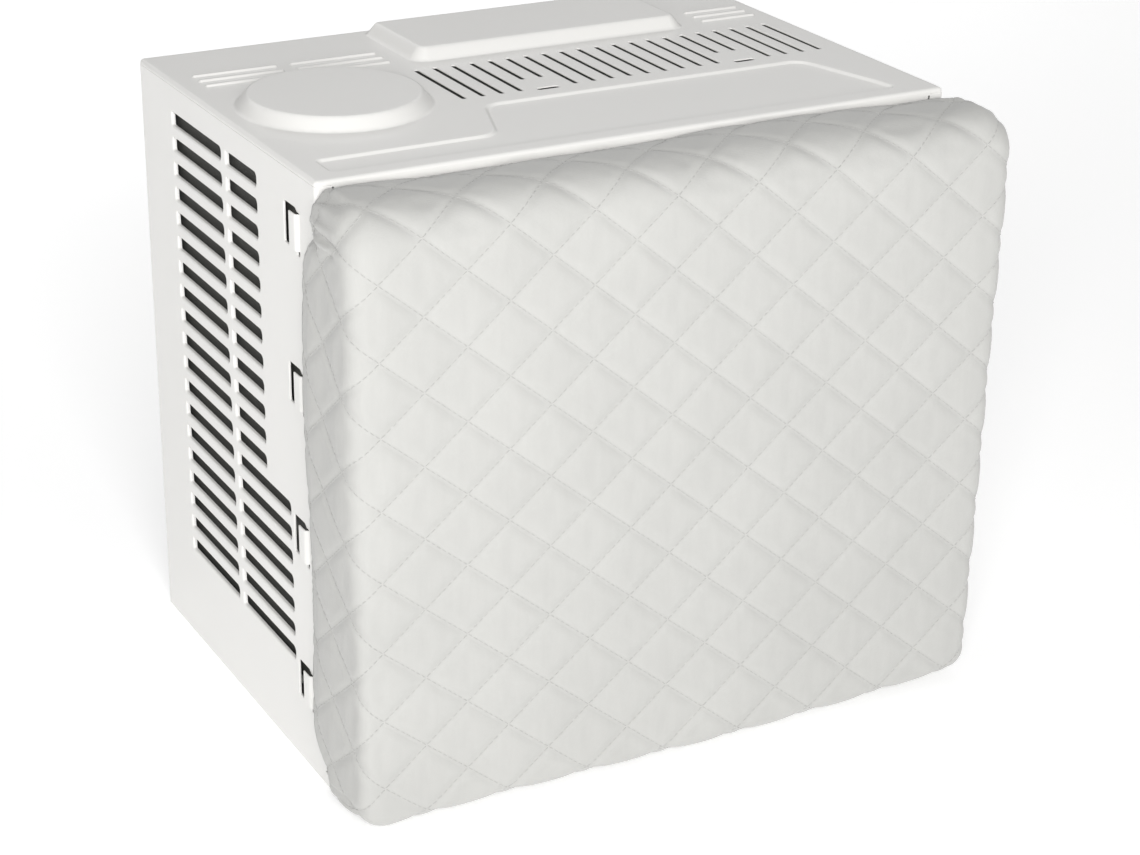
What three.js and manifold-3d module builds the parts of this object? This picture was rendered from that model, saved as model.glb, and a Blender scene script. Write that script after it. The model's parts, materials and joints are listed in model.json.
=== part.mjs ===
// A window air conditioner with a quilted indoor cover over its front.
// Millimetres. X runs to the right, Y to the back, Z up; the front faces -Y.
// Pieces are drawn with Y = 0 at the cabinet's front edge, and the group that
// holds them is shifted so that the origin is under the middle of the whole object.
import * as THREE from "three";
import { mergeVertices } from "three/addons/utils/BufferGeometryUtils.js";
import Module from "manifold-3d";

const wasm = await Module();
wasm.setup();

// ---------------------------------------------------------------- driving sizes

const WIDTH = 480; // cabinet, outside the side panels
const DEPTH = 318; // cabinet, front edge to rear face
const HEIGHT = 440; // cabinet, floor to top sheet
const SHEET = 1.2; // painted steel
const GAP = 0.3; // between touching pieces
const FLANGE = 12.8; // turned-in edges of the cabinet sheets
const SCREW_HEAD = 2;
const TRIM = 0.1; // a turned edge stops this much short of its sheet's edge

const COVER_WIDTH = 498;
const COVER_PROUD = 72; // in front of the cabinet
const COVER_WALL = 8; // quilted layers
const COVER_CORNER = 28;
const COVER_LAP = 16; // over the cabinet's sides
const COVER_END = -6.5; // rear edge above and below, in front of the cabinet

const CENTRE_Y = (DEPTH + SCREW_HEAD - COVER_PROUD) / 2;
const HALF = WIDTH / 2;
const SIDE_TOP = HEIGHT - SHEET - GAP;
const INNER_X = HALF - SHEET; // inside face of a side panel
const PLATE_X = 236; // half width of the upright plates inside
const PLATE_TOP = 434;
const SCREW_X = 232;
const SCREW_HEIGHTS = [40, 400];

const PAN = { x: INNER_X - 0.4, floor: 1.5, wall: 1.5, rim: 16 };

const SLOT = { pitch: 18.5, rows: 19, shortRows: 12, height: 10, corner: 3, firstZ: HEIGHT - 27.8 };
const REAR_SLOT = [162, 255]; // front and rear end of the rear column, in Y
const FRONT_SLOT = { short: 99, long: 58, end: 153.5 };
const HOOK = { count: 4, pitch: 111.5, firstZ: HEIGHT - 42, rear: 51, front: 29.5, height: 29.5 };
const TAB = { root: 26.6, end: 37.6, height: 25, standoff: 2.4 };

const VENT_SLOT = { count: 21, firstX: -74.6, lastX: 218, width: 4, front: 123, rear: 203 };
const CUT_SLOTS = [4, 5, 15, 16]; // the vent slots that stop short of a bridge slot
const BRIDGE = { x: [-10.5, 151], y: 122, length: 17, width: 5 };
const EMBOSS = 9.5;
const DISC = { x: -160, y: 151, radius: 68.5 };
const PLATFORM = { x0: -68, x1: 161, y0: 217, y1: 315, corner: 14 };
const RIB = {
  width: 4.6,
  height: 1.6,
  corner: 2,
  rows: [228, 241, 254],
  spans: [[-224, -159], [-150, -82], [179, 227]],
};

const FAN = { x: 40, z: 190, y: 248, radius: 150 }; // the motor, blower and fan share this axis
const SHAFT_R = 4;
const PIVOT_PLAY = 0.4; // between a louvre's or vane's pin and its hole
const RING_R = 160;
const WHEEL_R = 92;
const SCROLL_R = 128;
const COMPRESSOR = { x: -172, y: 192, radius: 56, feet: 60, base: 20.3, top: 236 };
const FOOT_SPREAD = 1.16; // the foot plate's corners, beyond its grommets
const BULKHEAD_Y = [128, 130.5];
const SCREEN = { x0: 232.2, x1: 233.4, y0: 46, y1: 258, z0: 56, z1: 424, post: 3 }; // behind the side slots
const COIL_Y = [272, 308];
const ACCUMULATOR = { x: -90, y: 163, radius: 21, z0: 70, z1: 206 };
const DRIER = { x: -98, y: 214, radius: 9, z0: 50, z1: 118 };
const CAPACITOR = { x: 206, y: 152, radius: 17, z0: 285, z1: 350 };
const DISCHARGE_HOLE = [-202, 366];
const LINE_R = 4;
const GROMMET = { y: 34, z: 31, neck: 8, flange: 12, bore: 4.5, sides: 20 };

const GRILLE = { x: 238.5, z0: 10, z1: 430, front: -62, rear: -1.5, wall: 2.5, corner: 22, lip: 6 };
const INTAKE = { x: 205, z0: 34, z1: 272, bars: 14 };
const DUCT = { x0: -213, x1: 98, z0: 302, z1: 408, rear: -4 };
const CONTROLS = { x0: 110, x1: 224, z0: 296, z1: 418, face: -36 };
const KNOB = { x: 171, modeZ: 384, thermostatZ: 332, radius: 20 };
const LOUVRE = { count: 4, y: -44, firstZ: 316, pitch: 26, chord: 20, thickness: 2.6, pin: 2.1 };
const VANE = { count: 5, y: -18, firstX: -178, pitch: 60, chord: 22, thickness: 1.8, pin: 1.9, arm: 9 };
const VENT = { x0: 66, x1: 102, z0: 322, z1: 352, hingeZ: 358, rodX: 117, rodZ: 344 };

// ---------------------------------------------------------------- geometry helpers

// A closed three.js geometry as a solid that can be joined and cut.
function solid(geometry) {
  const loose = geometry.index ? geometry.toNonIndexed() : geometry.clone();
  const bare = new THREE.BufferGeometry();
  bare.setAttribute("position", loose.getAttribute("position"));
  const merged = mergeVertices(bare, 1e-4);
  return new wasm.Manifold(
    new wasm.Mesh({
      numProp: 3,
      vertProperties: merged.attributes.position.array,
      triVerts: new Uint32Array(merged.index.array),
    }),
  );
}

function join(...solids) {
  return solids.flat().reduce((whole, piece) => whole.add(piece));
}

function cut(body, ...tools) {
  return tools.flat().reduce((left, tool) => left.subtract(tool), body);
}

function block(x0, x1, y0, y1, z0, z1) {
  const box = new THREE.BoxGeometry(x1 - x0, y1 - y0, z1 - z0);
  box.translate((x0 + x1) / 2, (y0 + y1) / 2, (z0 + z1) / 2);
  return solid(box);
}

// A round bar from one end to the other along an axis, through centre [a, b],
// which is [y, z] for the X axis, [x, z] for Y and [x, y] for Z.
function bar(axis, radius, from, to, [a, b], sides = 24) {
  const rod = new THREE.CylinderGeometry(radius, radius, to - from, sides);
  const middle = (from + to) / 2;
  if (axis === "x") {
    rod.rotateZ(Math.PI / 2);
    rod.translate(middle, a, b);
  } else if (axis === "y") {
    rod.translate(a, middle, b);
  } else {
    rod.rotateX(Math.PI / 2);
    rod.translate(a, b, middle);
  }
  return solid(rod);
}

function tube(axis, inner, outer, from, to, centre, sides = 24) {
  const hollow = bar(axis, inner, from - 1, to + 1, centre, sides);
  return cut(bar(axis, outer, from, to, centre, sides), hollow);
}

// An outline pushed along an axis. It is drawn as (y, z) for X, (x, z) for Y and (x, y) for Z.
function plate(outline, axis, from, to, curveSegments = 3) {
  const depth = to - from;
  const slab = new THREE.ExtrudeGeometry(outline, { depth, curveSegments, bevelEnabled: false });
  if (axis === "x") {
    slab.applyMatrix4(new THREE.Matrix4().set(0, 0, 1, from, 1, 0, 0, 0, 0, 1, 0, 0, 0, 0, 0, 1));
  } else if (axis === "y") {
    slab.rotateX(Math.PI / 2);
    slab.translate(0, to, 0);
  } else {
    slab.translate(0, 0, from);
  }
  return solid(slab);
}

function polygon(points) {
  return new THREE.Shape(points.map(([u, v]) => new THREE.Vector2(u, v)));
}

// A rectangle whose corners are cut straight across.
function cutRectangle(u0, u1, v0, v1, c) {
  return polygon([
    [u0 + c, v0],
    [u1 - c, v0],
    [u1, v0 + c],
    [u1, v1 - c],
    [u1 - c, v1],
    [u0 + c, v1],
    [u0, v1 - c],
    [u0, v0 + c],
  ]);
}

function roundRectangle(u0, u1, v0, v1, r) {
  const shape = new THREE.Shape();
  shape.absarc(u1 - r, v0 + r, r, -Math.PI / 2, 0);
  shape.absarc(u1 - r, v1 - r, r, 0, Math.PI / 2);
  shape.absarc(u0 + r, v1 - r, r, Math.PI / 2, Math.PI);
  shape.absarc(u0 + r, v0 + r, r, Math.PI, 1.5 * Math.PI);
  return shape;
}

// A turned piece about a vertical axis, from [radius, height] points that start and end on it.
function turned(points, x, y, sides = 28) {
  const lathe = new THREE.LatheGeometry(points.map(([r, z]) => new THREE.Vector2(r, z)), sides);
  lathe.rotateX(Math.PI / 2);
  lathe.translate(x, y, 0);
  return solid(lathe);
}

// A round tube or rod along a smooth line through points.
function line(points, radius = LINE_R, steps = 26, sides = 8) {
  const section = new THREE.Shape();
  section.absarc(0, 0, radius, 0, 2 * Math.PI);
  const corners = points.map((p) => new THREE.Vector3(...p));
  const extrudePath = new THREE.CatmullRomCurve3(corners, false, "centripetal");
  const curveSegments = sides / 2;
  const run = new THREE.ExtrudeGeometry(section, {
    steps,
    extrudePath,
    curveSegments,
    bevelEnabled: false,
  });
  return solid(run);
}

// An upright shell form with a sloped edge all round its front, drawn as (x, z).
function roundedFront(outline, lip, front) {
  const depth = 100;
  const bevel = { bevelThickness: lip, bevelSize: lip, bevelOffset: -lip, bevelSegments: 1 };
  const form = new THREE.ExtrudeGeometry(outline, { depth, curveSegments: 3, ...bevel });
  form.rotateX(Math.PI / 2);
  form.translate(0, front + depth + lip, 0);
  return solid(form);
}

// A flat-topped rise with sloping sides, pressed out of a sheet whose top is at baseZ.
function rise(outline, baseZ, height, slope, curveSegments) {
  const low = 2;
  const bevel = { bevelThickness: height, bevelSize: slope, bevelOffset: -slope, bevelSegments: 1 };
  const mesa = new THREE.ExtrudeGeometry(outline, { depth: low, curveSegments, ...bevel });
  mesa.translate(0, 0, baseZ - low);
  return cut(solid(mesa), block(-WIDTH, WIDTH, -WIDTH, WIDTH, baseZ - 60, baseZ - SHEET));
}

// ---------------------------------------------------------------- cabinet

function basePan() {
  const y0 = SHEET + GAP;
  const y1 = DEPTH - SHEET - GAP;
  const t = PAN.wall;
  const tray = block(-PAN.x, PAN.x, y0, y1, 0, PAN.rim);
  return cut(tray, block(t - PAN.x, PAN.x - t, y0 + t, y1 - t, PAN.floor, PAN.rim + 1));
}

function sideSlots() {
  const slots = [];
  for (let row = 0; row < SLOT.rows; row++) {
    const z = SLOT.firstZ - row * SLOT.pitch;
    const front = row < SLOT.shortRows ? FRONT_SLOT.short : FRONT_SLOT.long;
    for (const [y0, y1] of [REAR_SLOT, [front, FRONT_SLOT.end]]) {
      slots.push(cutRectangle(y0, y1, z - SLOT.height / 2, z + SLOT.height / 2, SLOT.corner));
    }
  }
  return slots;
}

function hookHeights() {
  return Array.from({ length: HOOK.count }, (_, i) => HOOK.firstZ - i * HOOK.pitch);
}

// side is -1 for the left panel and 1 for the right one.
function sidePanel(side) {
  const span = (a, b) => (side > 0 ? [a, b] : [-b, -a]);
  const face = polygon([[0, 0], [DEPTH, 0], [DEPTH, SIDE_TOP], [0, SIDE_TOP]]);
  face.holes.push(...sideSlots());
  for (const z of hookHeights()) {
    face.holes.push(cutRectangle(HOOK.front, HOOK.rear, z - HOOK.height / 2, z + HOOK.height / 2, 2));
  }
  const edge = span(INNER_X - FLANGE, INNER_X + SHEET / 2);
  const flanges = [
    block(...edge, TRIM, SHEET, TRIM, SIDE_TOP - 2 * TRIM),
    block(...edge, DEPTH - SHEET, DEPTH - TRIM, TRIM, SIDE_TOP - 2 * TRIM),
    block(...edge, 2 * TRIM, DEPTH - 2 * TRIM, SIDE_TOP - SHEET, SIDE_TOP - TRIM),
  ];
  const out = HALF + TAB.standoff;
  const bend = [
    [HALF - SHEET / 2, TAB.root],
    [out + SHEET, TAB.root],
    [out + SHEET, TAB.end],
    [out, TAB.end],
    [out, TAB.root + SHEET],
    [HALF - SHEET / 2, TAB.root + SHEET],
  ];
  const hook = polygon(bend.map(([x, y]) => [side * x, y]));
  const tabs = hookHeights().map((z) => plate(hook, "z", z - TAB.height / 2, z + TAB.height / 2));
  const sheet = plate(face, "x", ...span(INNER_X, HALF));
  const holes = SCREW_HEIGHTS.map((z) => screwHole(side * SCREW_X, z));
  if (side > 0) {
    const { neck, sides, y, z } = GROMMET;
    holes.push(bar("x", neck + GAP, INNER_X - 1, HALF + 1, [y, z], sides));
  }
  return cut(join(sheet, flanges, tabs), holes);
}

// A woven screen behind a side panel's slots, on four posts.
function sideScreen(side) {
  const { x0, x1, y0, y1, z0, z1, post } = SCREEN;
  const span = (a, b) => (side > 0 ? [a, b] : [-b, -a]);
  const inset = 6;
  const posts = [y0 + inset, y1 - 2].flatMap((y) =>
    [z0 + inset, z1 - 2].map((z) => bar("x", post, ...span(x1 - 0.5, INNER_X - GAP), [y, z], 10)),
  );
  return join(block(...span(x0, x1), y0, y1 + inset, z0, z1 + inset), posts);
}

function screwHole(x, z) {
  return bar("y", 2, DEPTH - 8, DEPTH + 1, [x, z], 8);
}

function ventSlots() {
  const pitch = (VENT_SLOT.lastX - VENT_SLOT.firstX) / (VENT_SLOT.count - 1);
  const slots = [];
  for (let i = 0; i < VENT_SLOT.count; i++) {
    const x = VENT_SLOT.firstX + i * pitch;
    const front = CUT_SLOTS.includes(i) ? VENT_SLOT.front + 25 : VENT_SLOT.front;
    slots.push(cutRectangle(x - VENT_SLOT.width / 2, x + VENT_SLOT.width / 2, front, VENT_SLOT.rear, 1.2));
  }
  for (const x of BRIDGE.x) {
    const { y, length, width } = BRIDGE;
    slots.push(cutRectangle(x - length / 2, x + length / 2, y - width / 2, y + width / 2, 1.2));
  }
  return slots;
}

function topPanel() {
  const bottom = HEIGHT - SHEET;
  const sheet = polygon([[-HALF, 0], [HALF, 0], [HALF, DEPTH], [-HALF, DEPTH]]);
  sheet.holes.push(...ventSlots());
  const flangeX = HALF - SHEET - FLANGE - GAP;
  const disc = (shrink) => {
    const outline = new THREE.Shape();
    outline.absarc(DISC.x, DISC.y, DISC.radius - shrink, 0, 2 * Math.PI);
    return outline;
  };
  const { x0, x1, y0, y1, corner } = PLATFORM;
  const deck = (shrink) => cutRectangle(x0 + shrink, x1 - shrink, y0 + shrink, y1 - shrink, corner);
  const ribs = RIB.rows.flatMap((y) =>
    RIB.spans.map(([a, b]) => {
      const outline = cutRectangle(a, b, y - RIB.width / 2, y + RIB.width / 2, RIB.corner);
      return plate(outline, "z", HEIGHT - SHEET / 2, HEIGHT + RIB.height);
    }),
  );
  const raised = join(
    plate(sheet, "z", bottom, HEIGHT),
    rise(disc(0), HEIGHT, EMBOSS, EMBOSS, 16),
    rise(deck(0), HEIGHT, EMBOSS, EMBOSS, 1),
    ribs,
    block(-flangeX, flangeX, TRIM, SHEET, HEIGHT - FLANGE, HEIGHT - SHEET / 2),
    block(-flangeX, flangeX, DEPTH - SHEET, DEPTH - TRIM, HEIGHT - FLANGE, HEIGHT - SHEET / 2),
  );
  return cut(
    raised,
    rise(disc(SHEET), bottom, EMBOSS, EMBOSS, 16),
    rise(deck(SHEET), bottom, EMBOSS, EMBOSS, 1),
  );
}

function rearGuard() {
  const y0 = DEPTH - SHEET - GAP - SHEET;
  const y1 = DEPTH - SHEET - GAP;
  const outline = polygon([[-PLATE_X, 17], [PLATE_X, 17], [PLATE_X, PLATE_TOP], [-PLATE_X, PLATE_TOP]]);
  const edge = 18;
  const x = PLATE_X - edge;
  const z0 = 17 + edge;
  const z1 = PLATE_TOP - edge;
  outline.holes.push(polygon([[-x, z0], [x, z0], [x, z1], [-x, z1]]));
  const wires = [];
  const count = 11;
  for (let i = 1; i < count; i++) {
    const z = z0 + ((z1 - z0) * i) / count;
    wires.push(block(-x - 4, x + 4, y0 - 1.2, y0 + 0.6, z - 1.1, z + 1.1));
  }
  for (const at of [-x / 2, 0, x / 2]) {
    wires.push(block(at - 1.6, at + 1.6, y0 - 1.8, y0 + 0.6, z0 - 4, z1 + 4));
  }
  const holes = [-1, 1].flatMap((side) => SCREW_HEIGHTS.map((z) => screwHole(side * SCREW_X, z)));
  return cut(join(plate(outline, "y", y0, y1), wires), holes);
}

// ---------------------------------------------------------------- refrigeration

function coil(halfWidth, y0, y1, z0, z1) {
  const fins = block(-halfWidth, halfWidth, y0 + 1, y1 - 1, z0 + 1, z1 - 1);
  const ends = [-1, 1].map((side) => {
    const x = side * halfWidth;
    return block(x - 1, x + 1, y0, y1, z0, z1);
  });
  return join(fins, ends);
}

function condenserCoil() {
  return coil(224, ...COIL_Y, 20, 426);
}

function evaporatorCoil() {
  return coil(206, 6, 42, 42, 276);
}

function compressorFeet() {
  return [90, 210, 330].map((degrees) => {
    const angle = THREE.MathUtils.degToRad(degrees);
    const { x, y, feet } = COMPRESSOR;
    return [x + feet * Math.cos(angle), y + feet * Math.sin(angle)];
  });
}

function compressor() {
  const { x, y, radius: r, base, top } = COMPRESSOR;
  const shell = turned(
    [
      [0, base],
      [r - 12, base + 1],
      [r - 3, base + 8],
      [r, base + 20],
      [r, top - 34],
      [r - 4, top - 16],
      [r - 18, top - 5],
      [0, top],
    ],
    x,
    y,
  );
  const spread = (value, centre) => centre + (value - centre) * FOOT_SPREAD;
  const foot = polygon(compressorFeet().map(([u, v]) => [spread(u, x), spread(v, y)]));
  const terminal = block(x - 16, x + 16, y - 16, y + 16, top - 14, top + 10);
  return join(shell, plate(foot, "z", base, base + 3), terminal);
}

function grommet([x, y]) {
  const base = PAN.floor + GAP;
  const top = COMPRESSOR.base - GAP;
  const profile = [
    [0, base],
    [10, base],
    [10, base + 5],
    [7, base + 8],
    [10, top - 4],
    [10, top],
    [0, top],
  ];
  return turned(profile, x, y, 16);
}

function accumulator() {
  const { x, y, radius: r, z0, z1 } = ACCUMULATOR;
  return turned([[0, z0], [r - 8, z0 + 2], [r, z0 + 12], [r, z1 - 12], [r - 8, z1 - 2], [0, z1]], x, y, 20);
}

// It leaves the top of the shell and passes through the shroud's plate to the coil.
function dischargeLine() {
  const { x, y, top } = COMPRESSOR;
  const [endX, endZ] = DISCHARGE_HOLE;
  return line([
    [x + 30, y, top + 0.6],
    [x + 30, y, top + 28],
    [x + 24, y + 12, top + 64],
    [x - 6, y + 30, endZ - 16],
    [x - 24, y + 50, endZ],
    [endX, 262, endZ],
    [endX, COIL_Y[0] + 0.5, endZ],
  ]);
}

function suctionLine() {
  const { x, y, z1 } = ACCUMULATOR;
  return line([
    [x, y, z1 + GAP],
    [x, y, z1 + 34],
    [x - 14, y - 8, z1 + 52],
    [x - 50, 142, z1 + 56],
    [x - 58, 128, z1 + 56],
    [x - 60, 80, z1 + 54],
    [x - 90, 58, z1 + 44],
    [x - 132, 50, z1 + 30],
    [x - 138, 28, z1 + 20],
    [x - 127, 20, z1 + 18],
    [x - 118.5, 20, z1 + 18],
  ]);
}

function filterDrier() {
  const { x, y, radius: r, z0, z1 } = DRIER;
  return turned([[0, z0], [4, z0 + 1], [r, z0 + 8], [r, z1 - 8], [4, z1 - 1], [0, z1]], x, y, 14);
}

function capillaryLine() {
  const { x, y, z0 } = DRIER;
  const points = [
    [x, y, z0 - GAP],
    [x, y - 4, z0 - 14],
    [x + 2, y - 40, z0 - 18],
    [x + 2, 128, z0 - 10],
    [x - 4, 90, z0 + 2],
    [x - 60, 62, z0 + 14],
    [x - 116, 52, z0 + 20],
    [x - 124, 34, z0 + 20],
    [x - 118, 24, z0 + 20],
    [x - 109.5, 24, z0 + 20],
  ];
  return line(points, 1.6, 30, 6);
}

// ---------------------------------------------------------------- air movers

function fanShroud() {
  const y1 = 268;
  const outline = polygon([[-PLATE_X, 17], [PLATE_X, 17], [PLATE_X, PLATE_TOP], [-PLATE_X, PLATE_TOP]]);
  const ring = bar("y", RING_R + 2.5, 234, y1, [FAN.x, FAN.z], 40);
  const bore = bar("y", RING_R, 230, y1 + 2, [FAN.x, FAN.z], 40);
  const lineHole = bar("y", LINE_R + 2, y1 - 4, y1 + 2, DISCHARGE_HOLE, 10);
  return cut(join(plate(outline, "y", y1 - 2, y1), ring), bore, lineHole);
}

function fanBlade(index, count) {
  const outline = new THREE.Shape();
  outline.moveTo(22, -16);
  outline.quadraticCurveTo(90, -44, FAN.radius, -34);
  outline.lineTo(FAN.radius, 34);
  outline.quadraticCurveTo(80, 34, 22, 16);
  const blade = new THREE.ExtrudeGeometry(outline, { depth: 2, curveSegments: 3, bevelEnabled: false });
  blade.translate(0, 0, -1);
  blade.rotateX(THREE.MathUtils.degToRad(17));
  blade.rotateZ((2 * Math.PI * index) / count);
  blade.rotateX(Math.PI / 2);
  blade.translate(FAN.x, FAN.y, FAN.z);
  return solid(blade);
}

function condenserFan() {
  const centre = [FAN.x, FAN.z];
  const hub = bar("y", 26, FAN.y - 11, FAN.y + 12, centre, 20);
  const slinger = tube("y", FAN.radius - 1.5, FAN.radius + 4, FAN.y - 4, FAN.y + 5, centre, 36);
  const blades = Array.from({ length: 5 }, (_, i) => fanBlade(i, 5));
  const bore = bar("y", SHAFT_R + GAP, FAN.y - 20, FAN.y + 20, centre, 12);
  return cut(join(hub, slinger, blades), bore);
}

function wheelBlade(index, count) {
  const blade = new THREE.BoxGeometry(17, 58, 1.3);
  blade.rotateY(THREE.MathUtils.degToRad(38));
  blade.translate(WHEEL_R - 9, 88.5, 0);
  blade.rotateY((2 * Math.PI * index) / count);
  blade.translate(FAN.x, 0, FAN.z);
  return solid(blade);
}

function blowerWheel() {
  const centre = [FAN.x, FAN.z];
  const count = 22;
  const back = bar("y", WHEEL_R, 116, 119, centre, 32);
  const hub = bar("y", 16, 92, 119, centre, 16);
  const rim = tube("y", WHEEL_R - 16, WHEEL_R, 58, 61, centre, 32);
  const blades = Array.from({ length: count }, (_, i) => wheelBlade(i, count));
  const bore = bar("y", SHAFT_R + GAP, 60, 130, centre, 12);
  return cut(join(back, hub, rim, blades), bore);
}

function motorShaft() {
  return bar("y", SHAFT_R, 88, 262, [FAN.x, FAN.z], 12);
}

function fanMotor() {
  const centre = [FAN.x, FAN.z];
  const can = bar("y", 58, 158, 214, centre, 28);
  const bells = [bar("y", 44, 152, 220, centre, 24), bar("y", 16, 144, 228, centre, 16)];
  return cut(join(can, bells), bar("y", SHAFT_R + GAP, 130, 240, centre, 12));
}

function motorBracket() {
  const foot = PAN.floor + GAP;
  const outline = polygon([
    [FAN.x - 70, foot],
    [FAN.x + 70, foot],
    [FAN.x + 50, FAN.z - 20],
    [FAN.x - 50, FAN.z - 20],
  ]);
  const cradle = plate(outline, "y", 184, 187);
  const shoe = block(FAN.x - 70, FAN.x + 70, 184, 214, foot, foot + 2.5);
  return cut(join(cradle, shoe), bar("y", 58.4, 180, 190, [FAN.x, FAN.z], 28));
}

function bulkhead() {
  const [y0, y1] = BULKHEAD_Y;
  const foot = PAN.floor + GAP;
  const halfWidth = SCREEN.x0 - GAP;
  const wall = block(-halfWidth, halfWidth, y0, y1, foot, PLATE_TOP);
  const tools = [
    bar("y", 12, y0 - 1, y1 + 1, [FAN.x, FAN.z], 16),
    block(VENT.x0, VENT.x1, y0 - 1, y1 + 1, VENT.z0, VENT.z1),
    bar("y", 3, y0 - 1, y1 + 1, [VENT.rodX, VENT.rodZ], 12),
    bar("y", 9, y0 - 1, y1 + 1, [ACCUMULATOR.x - 57.5, ACCUMULATOR.z1 + 56], 12),
    bar("y", 6, y0 - 1, y1 + 1, [DRIER.x + 2, DRIER.z0 - 10], 10),
  ];
  return cut(wall, tools);
}

function blowerHousing() {
  const centre = [FAN.x, FAN.z];
  const t = 3;
  const plenum = { x0: -222, x1: 112, z0: 288, z1: 424, y1: 126 };
  const { x0, x1, z0, z1, y1 } = plenum;
  const outside = join(bar("y", SCROLL_R, 50, y1, centre, 40), block(x0, x1, 0, y1, z0, z1));
  const inside = join(
    bar("y", SCROLL_R - t, 50 + t, y1 - t, centre, 40),
    block(x0 + t, x1 - t, -1, y1 - t, z0 + t, z1 - t),
    bar("y", 80, 40, 60, centre, 32),
    bar("y", 12, 110, 130, centre, 16),
    block(VENT.x0, VENT.x1, 110, 130, VENT.z0, VENT.z1),
  );
  return cut(outside, inside);
}

function drainPan() {
  const t = 3;
  const z0 = PAN.floor + GAP;
  const [x, y0, y1, z1] = [224, 4, 48, 38];
  return cut(block(-x, x, y0, y1, z0, z1), block(t - x, x - t, y0 + t, y1 - t, z0 + 8, z1 + 1));
}

// ---------------------------------------------------------------- controls

function controlBox() {
  const [x0, x1, y0, y1, z0, z1] = [122, 222, 2, 100, 297, 418];
  const room = block(x0 - 1, x1 - SHEET, y0 - 1, y1 - SHEET, z0 + SHEET, z1 + 1);
  return cut(block(x0, x1, y0, y1, z0, z1), room);
}

// A switch body behind the panel, with its spindle out to the knob.
function rotaryControl(z) {
  const body = block(KNOB.x - 20, KNOB.x + 20, 4, 42, z - 18, z + 18);
  return join(body, bar("y", 3, -50, 5, [KNOB.x, z], 12));
}

function controlPanel() {
  const { x0, x1, z0, z1, face } = CONTROLS;
  const t = 2;
  const hollow = block(x0 + t, x1 - t, face + 2.5, 0, z0 + t, z1 - t);
  const shell = cut(block(x0, x1, face, -0.5, z0, z1), hollow);
  return cut(shell, [
    bar("y", 3.6, face - 1, face + 4, [KNOB.x, KNOB.modeZ], 12),
    bar("y", 3.6, face - 1, face + 4, [KNOB.x, KNOB.thermostatZ], 12),
    bar("y", 2.4, face - 1, face + 4, [VENT.rodX, VENT.rodZ], 12),
  ]);
}

function knob(z) {
  const back = CONTROLS.face - 0.5;
  const skirt = bar("y", KNOB.radius, back - 6, back, [KNOB.x, z], 28);
  const grip = block(KNOB.x - 4.5, KNOB.x + 4.5, back - 17, back - 5, z - 17, z + 17);
  return cut(join(skirt, grip), bar("y", 3 + GAP, -51, back + 1, [KNOB.x, z], 12));
}

function ventLever() {
  const rod = bar("y", 1.5, -52, 130.6, [VENT.rodX, VENT.rodZ], 8);
  const tab = block(VENT.rodX - 4, VENT.rodX + 8, -58, -50, VENT.rodZ - 8, VENT.rodZ + 8);
  return join(rod, tab);
}

function ventDamper() {
  const [y0, y1] = [133, 134.5];
  const flap = block(VENT.x0 - 4, VENT.rodX + 4, y0, y1, VENT.z0 - 4, VENT.hingeZ);
  const pin = bar("x", 1.6, VENT.x0 - 9, VENT.rodX + 9, [(y0 + y1) / 2, VENT.hingeZ], 10);
  return join(flap, pin);
}

function runCapacitor() {
  const { x, y, radius: r, z0, z1 } = CAPACITOR;
  return turned([[0, z0], [r, z0], [r, z1 - 3], [r - 2, z1], [0, z1]], x, y, 20);
}

function capacitorStrap() {
  const { x, y, radius: r } = CAPACITOR;
  const [z0, z1] = [310, 322];
  const wall = BULKHEAD_Y[1] + GAP;
  const band = tube("z", r + 0.4, r + 2, z0, z1, [x, y], 20);
  return join(band, block(x - 24, x + 24, wall, y - r - 0.8, z0, z1));
}

function sensingBulb() {
  const z = 250;
  return line(
    [
      [60, 2.6, z],
      [140, 2.6, z],
      [152, 2.6, z + 4],
      [158, 2.6, z + 20],
      [160, 2.6, 285],
      [162, 6, 294],
      [162, 10, 294.5],
    ],
    1.5,
    22,
    6,
  );
}

function cordGrommet() {
  const centre = [GROMMET.y, GROMMET.z];
  const { neck, flange, sides } = GROMMET;
  const lip = 3;
  const rings = [
    bar("x", neck, INNER_X - lip, HALF + lip, centre, sides),
    bar("x", flange, HALF + GAP, HALF + lip, centre, sides),
    bar("x", flange, INNER_X - lip, INNER_X - GAP, centre, sides),
  ];
  return cut(join(rings), bar("x", GROMMET.bore, INNER_X - 5, HALF + 5, centre, 16));
}

// ---------------------------------------------------------------- plastic front

function louvreHeights() {
  return Array.from({ length: LOUVRE.count }, (_, i) => LOUVRE.firstZ + i * LOUVRE.pitch);
}

function vanePlaces() {
  return Array.from({ length: VANE.count }, (_, i) => VANE.firstX + i * VANE.pitch);
}

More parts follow.
